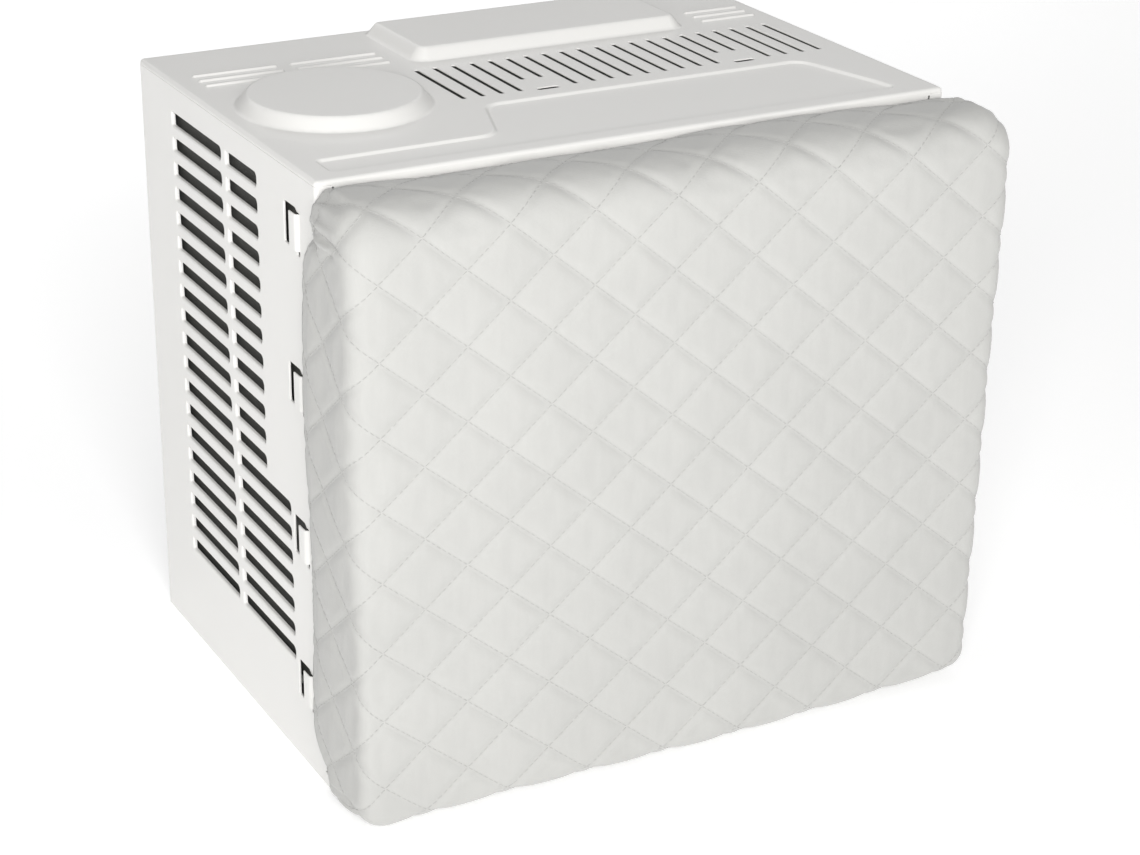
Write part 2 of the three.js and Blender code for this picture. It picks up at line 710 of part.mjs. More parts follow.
function frontGrille() {
  const { x, z0, z1, front, rear, wall, corner, lip } = GRILLE;
  const face = front + 3;
  const shell = cut(
    roundedFront(roundRectangle(-x, x, z0, z1, corner), lip, front),
    roundedFront(roundRectangle(wall - x, x - wall, z0 + wall, z1 - wall, corner - wall), lip, face),
    block(-WIDTH, WIDTH, rear, DEPTH, 0, HEIGHT),
  );
  const holes = [
    block(-INTAKE.x, INTAKE.x, front - 1, face + 1, INTAKE.z0, INTAKE.z1),
    block(CONTROLS.x0 - 2, CONTROLS.x1 + 2, front - 1, face + 1, CONTROLS.z0 - 2, CONTROLS.z1 + 2),
  ];
  const bars = [];
  for (let i = 1; i <= INTAKE.bars; i++) {
    const z = INTAKE.z0 + ((INTAKE.z1 - INTAKE.z0) * i) / (INTAKE.bars + 1);
    bars.push(block(-INTAKE.x - 1, INTAKE.x + 1, front, front + 10, z - 1.8, z + 1.8));
  }
  for (const at of [-INTAKE.x / 2, 0, INTAKE.x / 2]) {
    bars.push(block(at - 1.5, at + 1.5, front + 1, front + 11, INTAKE.z0 - 1, INTAKE.z1 + 1));
  }
  const rails = [-1, 1].map((side) => {
    const at = side * (INTAKE.x + 8);
    return block(at - 1.5, at + 1.5, face - 1, -36, INTAKE.z0, INTAKE.z1);
  });
  const throat = block(DUCT.x0, DUCT.x1, front - 1, face + 1, DUCT.z0, DUCT.z1);
  return cut(join(cut(shell, holes), bars, rails), throat);
}

// The duct behind the outlet, which carries the louvres' and vanes' pivots.
function louvreFrame() {
  const t = GRILLE.wall;
  const start = GRILLE.front + 3 + GAP;
  const duct = block(DUCT.x0 - t, DUCT.x1 + t, start, DUCT.rear, DUCT.z0 - t, DUCT.z1 + t);
  const throat = block(DUCT.x0, DUCT.x1, start - 1, DUCT.rear + 1, DUCT.z0, DUCT.z1);
  const past = 6;
  const pins = louvreHeights().map((z) =>
    bar("x", LOUVRE.pin + PIVOT_PLAY, DUCT.x0 - past, DUCT.x1 + past, [LOUVRE.y, z], 8),
  );
  const pivots = vanePlaces().map((at) =>
    bar("z", VANE.pin + PIVOT_PLAY, DUCT.z0 - past, DUCT.z1 + past, [at, VANE.y], 8),
  );
  return cut(duct, throat, pins, pivots);
}

function airFilter() {
  const [x, z0, z1, y0, y1] = [INTAKE.x + 5.5, 36, 270, -46, -42];
  const frame = block(-x, x, y0, y1, z0, z1);
  const windows = [];
  const columns = 4;
  const step = (2 * x - 8) / columns;
  for (let i = 0; i < columns; i++) {
    const a = -x + 4 + i * step + 2;
    windows.push(block(a, a + step - 4, y0 - 1, y1 - 1.2, z0 + 6, z1 - 6));
  }
  return cut(frame, windows);
}

function louvre(z) {
  const c = LOUVRE.chord / 2;
  const t = LOUVRE.thickness / 2;
  const y = LOUVRE.y;
  const section = polygon([
    [y - c, z],
    [y - c * 0.7, z - t * 0.8],
    [y, z - t],
    [y + c * 0.7, z - t * 0.6],
    [y + c, z],
    [y + c * 0.7, z + t * 0.6],
    [y, z + t],
    [y - c * 0.7, z + t * 0.8],
  ]);
  const slat = plate(section, "x", DUCT.x0 + 1, DUCT.x1 - 1);
  return join(slat, bar("x", LOUVRE.pin, DUCT.x0 - 2.5, DUCT.x1 + 2.5, [y, z], 8));
}

function vane(x) {
  const t = VANE.thickness / 2;
  const c = VANE.chord / 2;
  const blade = block(x - t, x + t, VANE.y - c, VANE.y + c, DUCT.z0 + 8, DUCT.z1 - 2);
  const pivot = bar("z", VANE.pin, DUCT.z0 - 2.5, DUCT.z1 + 2.5, [x, VANE.y], 8);
  const peg = bar("z", 1.2, DUCT.z0 + 2, DUCT.z0 + 9, [x, VANE.y + VANE.arm], 8);
  return join(blade, pivot, peg);
}

function vaneTieBar() {
  const places = vanePlaces();
  const y = VANE.y + VANE.arm;
  const strip = block(places[0] - 6, places.at(-1) + 6, y - 2.6, y + 2.6, DUCT.z0 + 3, DUCT.z0 + 5.5);
  return cut(strip, places.map((x) => bar("z", 1.7, DUCT.z0 + 1, DUCT.z0 + 8, [x, y], 8)));
}

// ---------------------------------------------------------------- quilted cover

function quiltedCover() {
  const x = COVER_WIDTH / 2;
  const w = COVER_WALL;
  const inner = roundRectangle(w - x, x - w, w, HEIGHT - w, COVER_CORNER - w / 2);
  const shell = cut(
    roundedFront(roundRectangle(-x, x, 0, HEIGHT, COVER_CORNER), 16, -COVER_PROUD),
    roundedFront(inner, GRILLE.lip, w - COVER_PROUD),
    block(-WIDTH, WIDTH, COVER_END, DEPTH, -WIDTH, 2 * WIDTH),
  );
  const root = COVER_END - 4;
  const [low, high] = [30, HEIGHT - 30];
  const lap = polygon([
    [root, low],
    [COVER_END, low],
    [COVER_LAP / 2, low + 14],
    [COVER_LAP, low + 26],
    [COVER_LAP, high - 26],
    [COVER_LAP / 2, high - 14],
    [COVER_END, high],
    [root, high],
  ]);
  return join(shell, plate(lap, "x", HALF + 0.6, x), plate(lap, "x", -x, -HALF - 0.6));
}

// A closed run of straight stretches, with one tube section at each of its points.
class Loop extends THREE.Curve {
  constructor(points) {
    super();
    this.points = points.map((p) => new THREE.Vector3(...p));
  }

  getPoint(t, target = new THREE.Vector3()) {
    const n = this.points.length;
    const at = (((t % 1) + 1) % 1) * n;
    const i = Math.floor(at + 1e-6);
    return target.lerpVectors(this.points[i % n], this.points[(i + 1) % n], Math.max(0, at - i));
  }

  getPointAt(u, target) {
    return this.getPoint(u, target);
  }

  getTangentAt(u, target = new THREE.Vector3()) {
    const step = 0.2 / this.points.length;
    return target.subVectors(this.getPoint(u + step), this.getPoint(u - step)).normalize();
  }
}

// The elastic runs along the cover's rear edge: over the cabinet's sides, and in front of it
// above and below.
function elasticBand() {
  const x = COVER_WIDTH / 2 - 4.2;
  const [near, far] = [-3.6, COVER_LAP + 2.4];
  const r = COVER_CORNER - 4;
  const [low, high] = [4, HEIGHT - 4];
  const corner = [0, 30, 60, 90].map((degrees) => {
    const angle = THREE.MathUtils.degToRad(degrees);
    return [x - r + r * Math.sin(angle), near, high - r + r * Math.cos(angle)];
  });
  const slope = [
    [x, COVER_LAP / 2 + 2, high - r - 9],
    [x, far, high - r - 22],
  ];
  const upper = [...corner, ...slope];
  const lower = upper.map(([px, py, pz]) => [px, py, low + high - pz]).reverse();
  const right = [...upper, [x, far, HEIGHT / 2], ...lower];
  const left = right.map(([px, py, pz]) => [-px, py, pz]).reverse();
  const path = new Loop([...right, ...left]);
  return solid(new THREE.TubeGeometry(path, path.points.length, 1.5, 6, true));
}

// ---------------------------------------------------------------- fasteners

function rearScrew(x, z) {
  const centre = [x, z];
  const top = DEPTH + SCREW_HEAD;
  const head = bar("y", 4, DEPTH + GAP, top, centre, 12);
  const neck = bar("y", 1.6, DEPTH - 6, DEPTH + GAP + 0.1, centre, 8);
  const cross = [
    block(x - 0.5, x + 0.5, top - 0.8, top + 1, z - 2.6, z + 2.6),
    block(x - 2.6, x + 2.6, top - 0.8, top + 1, z - 0.5, z + 0.5),
  ];
  return cut(join(head, neck), cross);
}

// ---------------------------------------------------------------- finishes

const FINISH = {
  paint: { color: 0xdedcd6, roughness: 0.45, metalness: 0.05 },
  galvanised: { color: 0xb4b8ba, roughness: 0.4, metalness: 0.9 },
  fins: { color: 0xc3c7c9, roughness: 0.35, metalness: 0.9 },
  copper: { color: 0xb8724a, roughness: 0.3, metalness: 0.95 },
  black_steel: { color: 0x202124, roughness: 0.45, metalness: 0.3 },
  shaft_steel: { color: 0x9a9da0, roughness: 0.25, metalness: 1 },
  grille_plastic: { color: 0xe6e4de, roughness: 0.5, metalness: 0 },
  grey_plastic: { color: 0x8f9294, roughness: 0.5, metalness: 0 },
  dark_plastic: { color: 0x3a3c3e, roughness: 0.5, metalness: 0 },
  foam: { color: 0xeeeeea, roughness: 0.9, metalness: 0 },
  rubber: { color: 0x1d1d1d, roughness: 0.85, metalness: 0 },
  filter_mesh: { color: 0x5f666b, roughness: 0.8, metalness: 0 },
  screen: { color: 0x3c3c3a, roughness: 0.85, metalness: 0 },
  quilt: { color: 0xd9d8d2, roughness: 0.95, metalness: 0 },
  binding: { color: 0xd2d1cb, roughness: 0.95, metalness: 0 },
};

function piece(name, body, finish) {
  const { vertProperties, triVerts } = body.getMesh();
  const geometry = new THREE.BufferGeometry();
  geometry.setAttribute("position", new THREE.BufferAttribute(vertProperties, 3));
  geometry.setIndex(new THREE.BufferAttribute(triVerts, 1));
  geometry.computeVertexNormals();
  const mesh = new THREE.Mesh(geometry, new THREE.MeshStandardMaterial(FINISH[finish]));
  mesh.name = name;
  return mesh;
}

const airConditioner = new THREE.Group();
airConditioner.position.set(0, -CENTRE_Y, 0);

airConditioner.add(
  piece("base_pan", basePan(), "galvanised"),
  piece("left_side_panel", sidePanel(-1), "paint"),
  piece("right_side_panel", sidePanel(1), "paint"),
  piece("left_side_screen", sideScreen(-1), "screen"),
  piece("right_side_screen", sideScreen(1), "screen"),
  piece("top_panel", topPanel(), "paint"),
  piece("rear_guard", rearGuard(), "paint"),
  piece("condenser_coil", condenserCoil(), "fins"),
  piece("evaporator_coil", evaporatorCoil(), "fins"),
  piece("compressor", compressor(), "black_steel"),
  piece("accumulator", accumulator(), "black_steel"),
  piece("discharge_line", dischargeLine(), "copper"),
  piece("suction_line", suctionLine(), "copper"),
  piece("capillary_line", capillaryLine(), "copper"),
  piece("filter_drier", filterDrier(), "copper"),
  piece("fan_shroud", fanShroud(), "grey_plastic"),
  piece("fan_motor", fanMotor(), "black_steel"),
  piece("motor_bracket", motorBracket(), "galvanised"),
  piece("bulkhead", bulkhead(), "galvanised"),
  piece("blower_housing", blowerHousing(), "foam"),
  piece("drain_pan", drainPan(), "foam"),
  piece("control_box", controlBox(), "galvanised"),
  piece("mode_switch", rotaryControl(KNOB.modeZ), "dark_plastic"),
  piece("thermostat", rotaryControl(KNOB.thermostatZ), "dark_plastic"),
  piece("sensing_bulb", sensingBulb(), "copper"),
  piece("run_capacitor", runCapacitor(), "galvanised"),
  piece("capacitor_strap", capacitorStrap(), "galvanised"),
  piece("control_panel", controlPanel(), "grille_plastic"),
  piece("cord_grommet", cordGrommet(), "rubber"),
  piece("motor_shaft", motorShaft(), "shaft_steel"),
  piece("condenser_fan", condenserFan(), "dark_plastic"),
  piece("blower_wheel", blowerWheel(), "dark_plastic"),
  piece("mode_knob", knob(KNOB.modeZ), "grille_plastic"),
  piece("thermostat_knob", knob(KNOB.thermostatZ), "grille_plastic"),
  piece("vent_lever", ventLever(), "grey_plastic"),
  piece("vent_damper", ventDamper(), "grey_plastic"),
  piece("front_grille", frontGrille(), "grille_plastic"),
  piece("louvre_frame", louvreFrame(), "grille_plastic"),
  piece("air_filter", airFilter(), "filter_mesh"),
  piece("vane_tie_bar", vaneTieBar(), "grille_plastic"),
  piece("quilted_cover", quiltedCover(), "quilt"),
  piece("elastic_band", elasticBand(), "binding"),
);

compressorFeet().forEach((place, i) => {
  airConditioner.add(piece(`compressor_grommet_${i + 1}`, grommet(place), "rubber"));
});
louvreHeights().forEach((z, i) => {
  airConditioner.add(piece(`horizontal_louvre_${i + 1}`, louvre(z), "grille_plastic"));
});
vanePlaces().forEach((x, i) => {
  airConditioner.add(piece(`vertical_vane_${i + 1}`, vane(x), "grille_plastic"));
});
SCREW_HEIGHTS.forEach((z, i) => {
  airConditioner.add(piece(`left_rear_screw_${i + 1}`, rearScrew(-SCREW_X, z), "shaft_steel"));
  airConditioner.add(piece(`right_rear_screw_${i + 1}`, rearScrew(SCREW_X, z), "shaft_steel"));
});

const model = new THREE.Group();
model.add(airConditioner);

export default model;
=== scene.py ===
import json
import math

import bmesh
import bpy
import numpy as np
from mathutils import Matrix, Vector
from mathutils.bvhtree import BVHTree
from mathutils.geometry import delaunay_2d_cdt


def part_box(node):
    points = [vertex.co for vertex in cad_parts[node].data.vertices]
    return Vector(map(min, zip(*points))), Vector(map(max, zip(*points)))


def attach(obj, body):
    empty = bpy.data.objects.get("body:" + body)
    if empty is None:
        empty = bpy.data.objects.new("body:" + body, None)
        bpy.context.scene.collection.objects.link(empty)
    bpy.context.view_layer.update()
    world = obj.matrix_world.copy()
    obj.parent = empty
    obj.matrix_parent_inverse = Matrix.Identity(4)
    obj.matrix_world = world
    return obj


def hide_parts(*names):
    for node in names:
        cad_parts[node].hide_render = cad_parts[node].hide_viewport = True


# A window air conditioner whose front wears a quilted slip-on cover. Every piece is drawn in
# millimetres with Y = 0 at the cabinet's front edge, and to_frame() puts it into the frame.
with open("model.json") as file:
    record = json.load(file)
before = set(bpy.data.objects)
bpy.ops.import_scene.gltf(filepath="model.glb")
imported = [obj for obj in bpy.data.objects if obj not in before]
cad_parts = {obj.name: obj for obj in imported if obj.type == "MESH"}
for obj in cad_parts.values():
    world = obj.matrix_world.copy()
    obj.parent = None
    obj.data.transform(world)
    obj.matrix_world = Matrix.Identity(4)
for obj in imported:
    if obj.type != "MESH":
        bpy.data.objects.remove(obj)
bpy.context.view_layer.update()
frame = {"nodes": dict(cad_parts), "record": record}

MM = 0.001
FRONT_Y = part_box("top_panel")[0].y / MM  # the frame's Y at the cabinet's front edge

# ------------------------------------------------------------------ sizes, in millimetres

HALF = 240  # cabinet's half width
DEPTH = 318
HEIGHT = 440
SHEET = 1.0
FLANGE = 12.8
BEND = 2.6  # outside radius of the folded edges
SEAM_Z = HEIGHT - 3.4  # where the top sheet's turned-down edge meets the sides

SLOT = {
    "pitch": 18.5,
    "rows": 19,
    "short_rows": 12,
    "height": 9.8,
    "corners": (3.4, 1.6),
    "first_z": HEIGHT - 27.8,
    "curl": 1.3,
    "depth": 2.8,
}
REAR_SLOT = (162, 255)
FRONT_SLOT = {"short": 99, "long": 58, "end": 153.5}
HOOK = {"count": 4, "pitch": 111.5, "first_z": HEIGHT - 42, "root": 26.4}
CORD_HOLE = 8.4  # radius

VENT = {"count": 21, "first_x": -74.6, "last_x": 218, "width": 4, "front": 123, "rear": 203}
CUT_VENTS = {"which": (4, 5, 15, 16), "by": 25}  # the ones that start behind a bridge slot
BRIDGE = {"x": (-10.5, 151), "y": 122, "length": 17, "width": 5}
EMBOSS = 9.2
DISC = {"x": -160, "y": 151, "radius": 68.5}
PLATFORM = {"x0": -68, "x1": 161, "y0": 217, "y1": 312.6, "corner": 14, "rear_corner": 11}
RIB = {
    "width": 4.6,
    "height": 1.5,
    "rows": (228, 241, 254),
    "spans": ((-224, -159), (-150, -82), (179, 227)),
}
RECESS = 1.8

GUARD_BORDER = 18  # width of the rear guard's frame plate
GUARD_ROWS = 11
GUARD_UPRIGHTS = (-0.5, 0, 0.5)  # as shares of the window's half width
WIRE_RADIUS = 1.15
SCREW = {"x": 232, "heights": (40, 400), "radius": 2.1}

FIN_PITCH = 2.1
FIN_HALF = 0.16
TUBE_PITCH = 25.4
TUBE_RADIUS = 3.2

COVER_X = 249
COVER_FRONT = -72
COVER_CORNER = 21
COVER_EDGE = 12  # rounding from the front to the walls
COVER_TOP_EDGE = 27  # the same along the top, where the cloth rolls over more gently
COVER_TAPER = 4.6  # how far the hem draws in, over the last TAPER_LENGTH
TAPER_LENGTH = 20
COVER_THICK = 3.2
COVER_LIFT = 5  # clear of the floor
HEM_Y = -6.5  # the hem's place above and below the cabinet
HEM_LAP = 20.5  # how much further back it lies at the sides
HEM_TURN = 30  # the height over which the lap fades out towards a corner
HEM_RADIUS = 2.1
HEM_INSET = 2.2  # how far inside the cloth's edge it runs
GATHER = {"depth": 2.2, "turns": 18, "phase": 0.6}  # folds round the cover's corners
SEAM_SUNK = 1.3
PUFF = {"height": 1.1, "base": -0.4, "limit": 1.8}  # start shape, and how far the wadding may swell
DIAMOND = (61, 51)  # width and height of one stitched diamond
DIAMOND_NODE = (74, 343)  # X and Z of one crossing of the stitch lines
CELLS = 8  # mesh cells along one side of a diamond
THREAD_RADIUS = 0.32
DASH = ((0.1, -0.5), (0.22, 0.05), (0.5, 0.2), (0.78, 0.05), (0.9, -0.5))  # (share of its edge, height)


# ------------------------------------------------------------------ camera, light and floor

CAMERA = {
    "lens": 80.8,
    "angles": (-28.9, 23.7, -0.793),  # azimuth, elevation and roll, in degrees
    "place": (-831.4, -1403.6, 941.2),
}


def camera():
    """Stands to the left and above, far off, rolled a little."""
    data = bpy.data.cameras.new("camera")
    data.sensor_width = 36
    data.lens = CAMERA["lens"]
    data.clip_start, data.clip_end = 0.05, 50
    cam = bpy.data.objects.new("camera", data)
    azimuth, elevation, roll = map(math.radians, CAMERA["angles"])
    back = Vector(
        (
            math.sin(azimuth) * math.cos(elevation),
            -math.cos(azimuth) * math.cos(elevation),
            math.sin(elevation),
        )
    )
    turn = (-back).to_track_quat("-Z", "Y").to_matrix() @ Matrix.Rotation(-roll, 3, "Z")
    cam.location = (Vector(CAMERA["place"]) + Vector((0, FRONT_Y, 0))) * MM
    cam.rotation_mode = "QUATERNION"
    cam.rotation_quaternion = turn.to_quaternion()
    bpy.context.scene.collection.objects.link(cam)
    bpy.context.scene.camera = cam


def area_light(name, place, target, size, power):
    data = bpy.data.lights.new(name, "AREA")
    data.shape = "RECTANGLE"
    data.size, data.size_y = size
    data.energy = power
    light = bpy.data.objects.new(name, data)
    light.location = place
    light.rotation_mode = "QUATERNION"
    light.rotation_quaternion = (Vector(target) - Vector(place)).to_track_quat("-Z", "Y")
    bpy.context.scene.collection.objects.link(light)


def studio():
    world = bpy.data.worlds.new("studio")
    world.use_nodes = True
    sky = world.node_tree.nodes["Background"]
    sky.inputs["Color"].default_value = (1.0, 1.0, 1.0, 1)
    sky.inputs["Strength"].default_value = 0.36
    bpy.context.scene.world = world
    middle = (0, 0, 0.2)
    area_light("key", (-1.2, -2.5, 1.25), middle, (1.4, 1.0), 82)
    area_light("overhead", (0.3, 0.9, 2.4), middle, (2.2, 1.6), 4)
    area_light("fill", (2.2, -1.4, 0.9), middle, (1.6, 1.6), 4)
    area_light("backdrop", (0.6, 2.3, 1.7), (0.6, 2.31, 0), (3.8, 1.8), 26)
    bpy.context.scene.view_settings.view_transform = "Standard"


def floor():
    mesh = bpy.data.meshes.new("floor")
    reach = 9
    corners = [(-reach, -reach, 0), (reach, -reach, 0), (reach, reach, 0), (-reach, reach, 0)]
    mesh.from_pydata(corners, [], [(0, 1, 2, 3)])
    ground = bpy.data.objects.new("floor", mesh)
    bpy.context.scene.collection.objects.link(ground)
    skin = bpy.data.materials.new("floor")
    skin.use_nodes = True
    shader = skin.node_tree.nodes["Principled BSDF"]
    shader.inputs["Base Color"].default_value = (0.96, 0.96, 0.96, 1)
    shader.inputs["Roughness"].default_value = 0.9
    shader.inputs["Specular IOR Level"].default_value = 0.1
    shader.inputs["Emission Color"].default_value = (1, 1, 1, 1)
    shader.inputs["Emission Strength"].default_value = 0.22
    mesh.materials.append(skin)


# ------------------------------------------------------------------ materials


class Skin:
    """A Principled material whose colour, roughness and bump come from procedural nodes."""

    def __init__(self, name, roughness, metallic=0.0, **sockets):
        self.material = bpy.data.materials.new(name)
        self.material.use_nodes = True
        self.nodes = self.material.node_tree.nodes
        self.links = self.material.node_tree.links
        self.shader = self.nodes["Principled BSDF"]
        self.shader.inputs["Roughness"].default_value = roughness
        self.shader.inputs["Metallic"].default_value = metallic
        for socket, value in sockets.items():
            self.shader.inputs[socket.replace("_", " ")].default_value = value
        self.place = self.nodes.new("ShaderNodeTexCoord").outputs["Object"]
        self.height = None

    def noise(self, scale, detail=3, stretch=(1, 1, 1)):
        mapping = self.nodes.new("ShaderNodeMapping")
        mapping.inputs["Scale"].default_value = stretch
        self.links.new(self.place, mapping.inputs["Vector"])
        node = self.nodes.new("ShaderNodeTexNoise")
        node.inputs["Scale"].default_value = scale
        node.inputs["Detail"].default_value = detail
        self.links.new(mapping.outputs["Vector"], node.inputs["Vector"])
        return node.outputs["Fac"]

    def cells(self, scale):
        node = self.nodes.new("ShaderNodeTexVoronoi")
        node.inputs["Scale"].default_value = scale
        self.links.new(self.place, node.inputs["Vector"])
        return node

    def waves(self, direction, scale, distortion=0.0):
        node = self.nodes.new("ShaderNodeTexWave")
        node.bands_direction = direction
        node.inputs["Scale"].default_value = scale
        node.inputs["Distortion"].default_value = distortion
        self.links.new(self.place, node.inputs["Vector"])
        return node.outputs["Fac"]

    def math(self, operation, a, b):
        node = self.nodes.new("ShaderNodeMath")
        node.operation = operation
        for socket, value in zip(node.inputs, (a, b)):
            if isinstance(value, (int, float)):
                socket.default_value = value
            else:
                self.links.new(value, socket)
        return node.outputs[0]

    def colours(self, factor, stops):
        ramp = self.nodes.new("ShaderNodeValToRGB")
        elements = ramp.color_ramp.elements
        while len(elements) < len(stops):
            elements.new(0.5)
        for element, (position, colour) in zip(elements, stops):
            element.position = position
            element.color = (*colour, 1)
        self.links.new(factor, ramp.inputs["Fac"])
        self.links.new(ramp.outputs["Color"], self.shader.inputs["Base Color"])

    def roughness(self, factor, low, high):
        node = self.nodes.new("ShaderNodeMapRange")
        node.inputs["To Min"].default_value = low
        node.inputs["To Max"].default_value = high
        self.links.new(factor, node.inputs["Value"])
        self.links.new(node.outputs["Result"], self.shader.inputs["Roughness"])

    def bump(self, factor, distance, strength=1.0):
        node = self.nodes.new("ShaderNodeBump")
        node.inputs["Distance"].default_value = distance
        node.inputs["Strength"].default_value = strength
        self.links.new(factor, node.inputs["Height"])
        if self.height:
            self.links.new(self.height, node.inputs["Normal"])
        self.height = node.outputs["Normal"]
        self.links.new(self.height, self.shader.inputs["Normal"])


def shade(colour, factor):
    return tuple(c * factor for c in colour)


def painted():
    """Off-white powder coat: a faint orange peel, a little cloudier and duller in places."""
    skin = Skin("powder_coat", 0.36, Coat_Weight=0.12, Coat_Roughness=0.2)
    colour = (0.775, 0.767, 0.745)
    skin.colours(skin.noise(5, 4), [(0.3, shade(colour, 0.975)), (0.7, colour)])
    skin.roughness(skin.noise(28, 5), 0.3, 0.44)
    skin.bump(skin.noise(620, 2), 0.00012, 0.35)
    return skin.material


def zinc():
    """Galvanised sheet, with its spangle."""
    skin = Skin("galvanised", 0.42, 0.9)
    cells = skin.cells(70)
    skin.colours(cells.outputs["Color"], [(0.2, (0.42, 0.44, 0.45)), (0.8, (0.62, 0.64, 0.65))])
    skin.roughness(skin.noise(60, 4), 0.3, 0.55)
    skin.bump(cells.outputs["Distance"], 0.0001, 0.3)
    return skin.material


def aluminium():
    skin = Skin("fin_stock", 0.38, 0.85)
    skin.colours(skin.noise(14, 6, (1, 1, 0.2)), [(0.3, (0.42, 0.44, 0.45)), (0.7, (0.6, 0.62, 0.63))])
    skin.bump(skin.waves("Z", 160, 0.6), 0.0002, 0.4)
    return skin.material


def copper():
    skin = Skin("copper_tube", 0.3, 0.95)
    tones = [(0.3, (0.36, 0.15, 0.075)), (0.62, (0.62, 0.31, 0.18)), (0.8, (0.7, 0.42, 0.28))]
    skin.colours(skin.noise(45, 6), tones)
    skin.roughness(skin.noise(90, 4), 0.22, 0.5)
    skin.bump(skin.noise(300, 3), 0.0001, 0.3)
    return skin.material


def enamel():
    skin = Skin("black_enamel", 0.4, 0.1, Coat_Weight=0.25, Coat_Roughness=0.25)
    skin.colours(skin.noise(20, 5), [(0.35, (0.022, 0.022, 0.023)), (0.75, (0.045, 0.045, 0.045))])
    skin.roughness(skin.noise(40, 4), 0.32, 0.6)
    skin.bump(skin.noise(350, 4), 0.0002, 0.4)
    return skin.material


def steel():
    skin = Skin("bright_steel", 0.3, 1.0)
    brushed = (1, 0.05, 1)
    skin.colours(skin.noise(200, 3, brushed), [(0.3, (0.42, 0.42, 0.43)), (0.7, (0.62, 0.62, 0.63))])
    skin.roughness(skin.noise(300, 2, brushed), 0.2, 0.42)
    skin.bump(skin.noise(500, 2, brushed), 0.00005, 0.5)
    return skin.material


def plastic(name, colour, roughness):
    """Moulded plastic with a fine spark-eroded grain."""
    skin = Skin(name, roughness)
    skin.colours(skin.noise(9, 3), [(0.3, shade(colour, 0.96)), (0.7, colour)])
    skin.roughness(skin.noise(35, 3), roughness - 0.06, roughness + 0.08)
    skin.bump(skin.noise(1400, 2), 0.00008, 0.4)
    return skin.material


def foam():
    """Expanded bead foam: small cells pressed together."""
    skin = Skin("bead_foam", 0.85, Subsurface_Weight=0.05)
    cells = skin.cells(330)
    skin.colours(cells.outputs["Distance"], [(0.0, (0.84, 0.84, 0.82)), (0.7, (0.68, 0.68, 0.66))])
    skin.bump(cells.outputs["Distance"], 0.0004, 0.5)
    return skin.material


def rubber():
    skin = Skin("black_rubber", 0.8, Specular_IOR_Level=0.3)
    skin.colours(skin.noise(60, 4), [(0.3, (0.012, 0.012, 0.012)), (0.75, (0.03, 0.03, 0.029))])
    skin.bump(skin.noise(800, 3), 0.0001, 0.5)
    return skin.material


def netting():
    """Woven filter net, 1.4 mm to the mesh."""
    skin = Skin("filter_net", 0.8)
    net = skin.math("MAXIMUM", skin.waves("X", 110), skin.waves("Z", 110))
    skin.colours(net, [(0.35, (0.05, 0.06, 0.065)), (0.7, (0.2, 0.23, 0.25))])
    skin.bump(net, 0.0005, 0.8)
    return skin.material


def cloth(name, colour):
    """Brushed polyester over wadding: a fine weave, faint slubs and soft creases."""
    skin = Skin(name, 0.95, Sheen_Weight=0.25, Sheen_Roughness=0.5, Specular_IOR_Level=0.2)
    blotch = skin.noise(16, 5)
    slub = skin.noise(260, 3, (1, 1, 0.15))
    tone = skin.math("ADD", skin.math("MULTIPLY", blotch, 0.7), skin.math("MULTIPLY", slub, 0.3))
    skin.colours(tone, [(0.35, shade(colour, 0.95)), (0.65, colour)])
    weave = skin.math("MULTIPLY", skin.waves("X", 420, 0.4), skin.waves("Z", 420, 0.4))
    skin.bump(skin.noise(75, 6), 0.0009, 0.35)
    skin.bump(weave, 0.00012, 0.5)
    return skin.material


def woven_screen():
    """Dark woven mesh on its pressed frame."""
    skin = Skin("woven_screen", 0.75, Specular_IOR_Level=0.25)
    net = skin.math("MAXIMUM", skin.waves("Y", 260), skin.waves("Z", 260))
    skin.colours(net, [(0.2, (0.03, 0.03, 0.028)), (0.8, (0.105, 0.105, 0.098))])
    skin.bump(net, 0.0004, 0.8)
    return skin.material


def all_materials():
    white = (0.8, 0.79, 0.765)
    quilt = (0.46, 0.458, 0.441)
    return {
        "paint": painted(),
        "galvanised": zinc(),
        "fins": aluminium(),
        "copper": copper(),
        "black_steel": enamel(),
        "shaft_steel": steel(),
        "grille_plastic": plastic("white_plastic", white, 0.42),
        "grey_plastic": plastic("grey_plastic", (0.27, 0.28, 0.285), 0.5),
        "dark_plastic": plastic("dark_plastic", (0.04, 0.042, 0.045), 0.5),
        "foam": foam(),
        "rubber": rubber(),
        "filter_mesh": netting(),
        "screen": woven_screen(),
        "quilt": cloth("quilted_cloth", quilt),
        "binding": cloth("elastic_binding", shade(quilt, 0.97)),
        "thread": cloth("stitching_thread", shade(quilt, 0.9)),
    }


# ------------------------------------------------------------------ mesh helpers


def to_frame(points):
    """Drawing millimetres to the frame's metres."""
    return (np.asarray(points, float) + (0, FRONT_Y, 0)) * MM


def new_piece(name, points, faces, material, body, slot, smooth=True):
    mesh = bpy.data.meshes.new(name)
    mesh.from_pydata(to_frame(points).tolist(), [], faces)
    mesh.materials.append(material)
    mesh.validate()
    if smooth:
        mesh.shade_smooth()
    piece = bpy.data.objects.new(name, mesh)
    bpy.context.scene.collection.objects.link(piece)
    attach(piece, body)
    return piece


def modify(piece, kind, **settings):
    modifier = piece.modifiers.new(kind.title(), kind)
    for key, value in settings.items():
        setattr(modifier, key, value)


def join_parts(parts):
    """One list of points and one of faces from several (points, faces)."""
    points, faces = [], []
    for part_points, part_faces in parts:
        start = len(points)
        points += list(part_points)
        faces += [[i + start for i in face] for face in part_faces]
    return points, faces


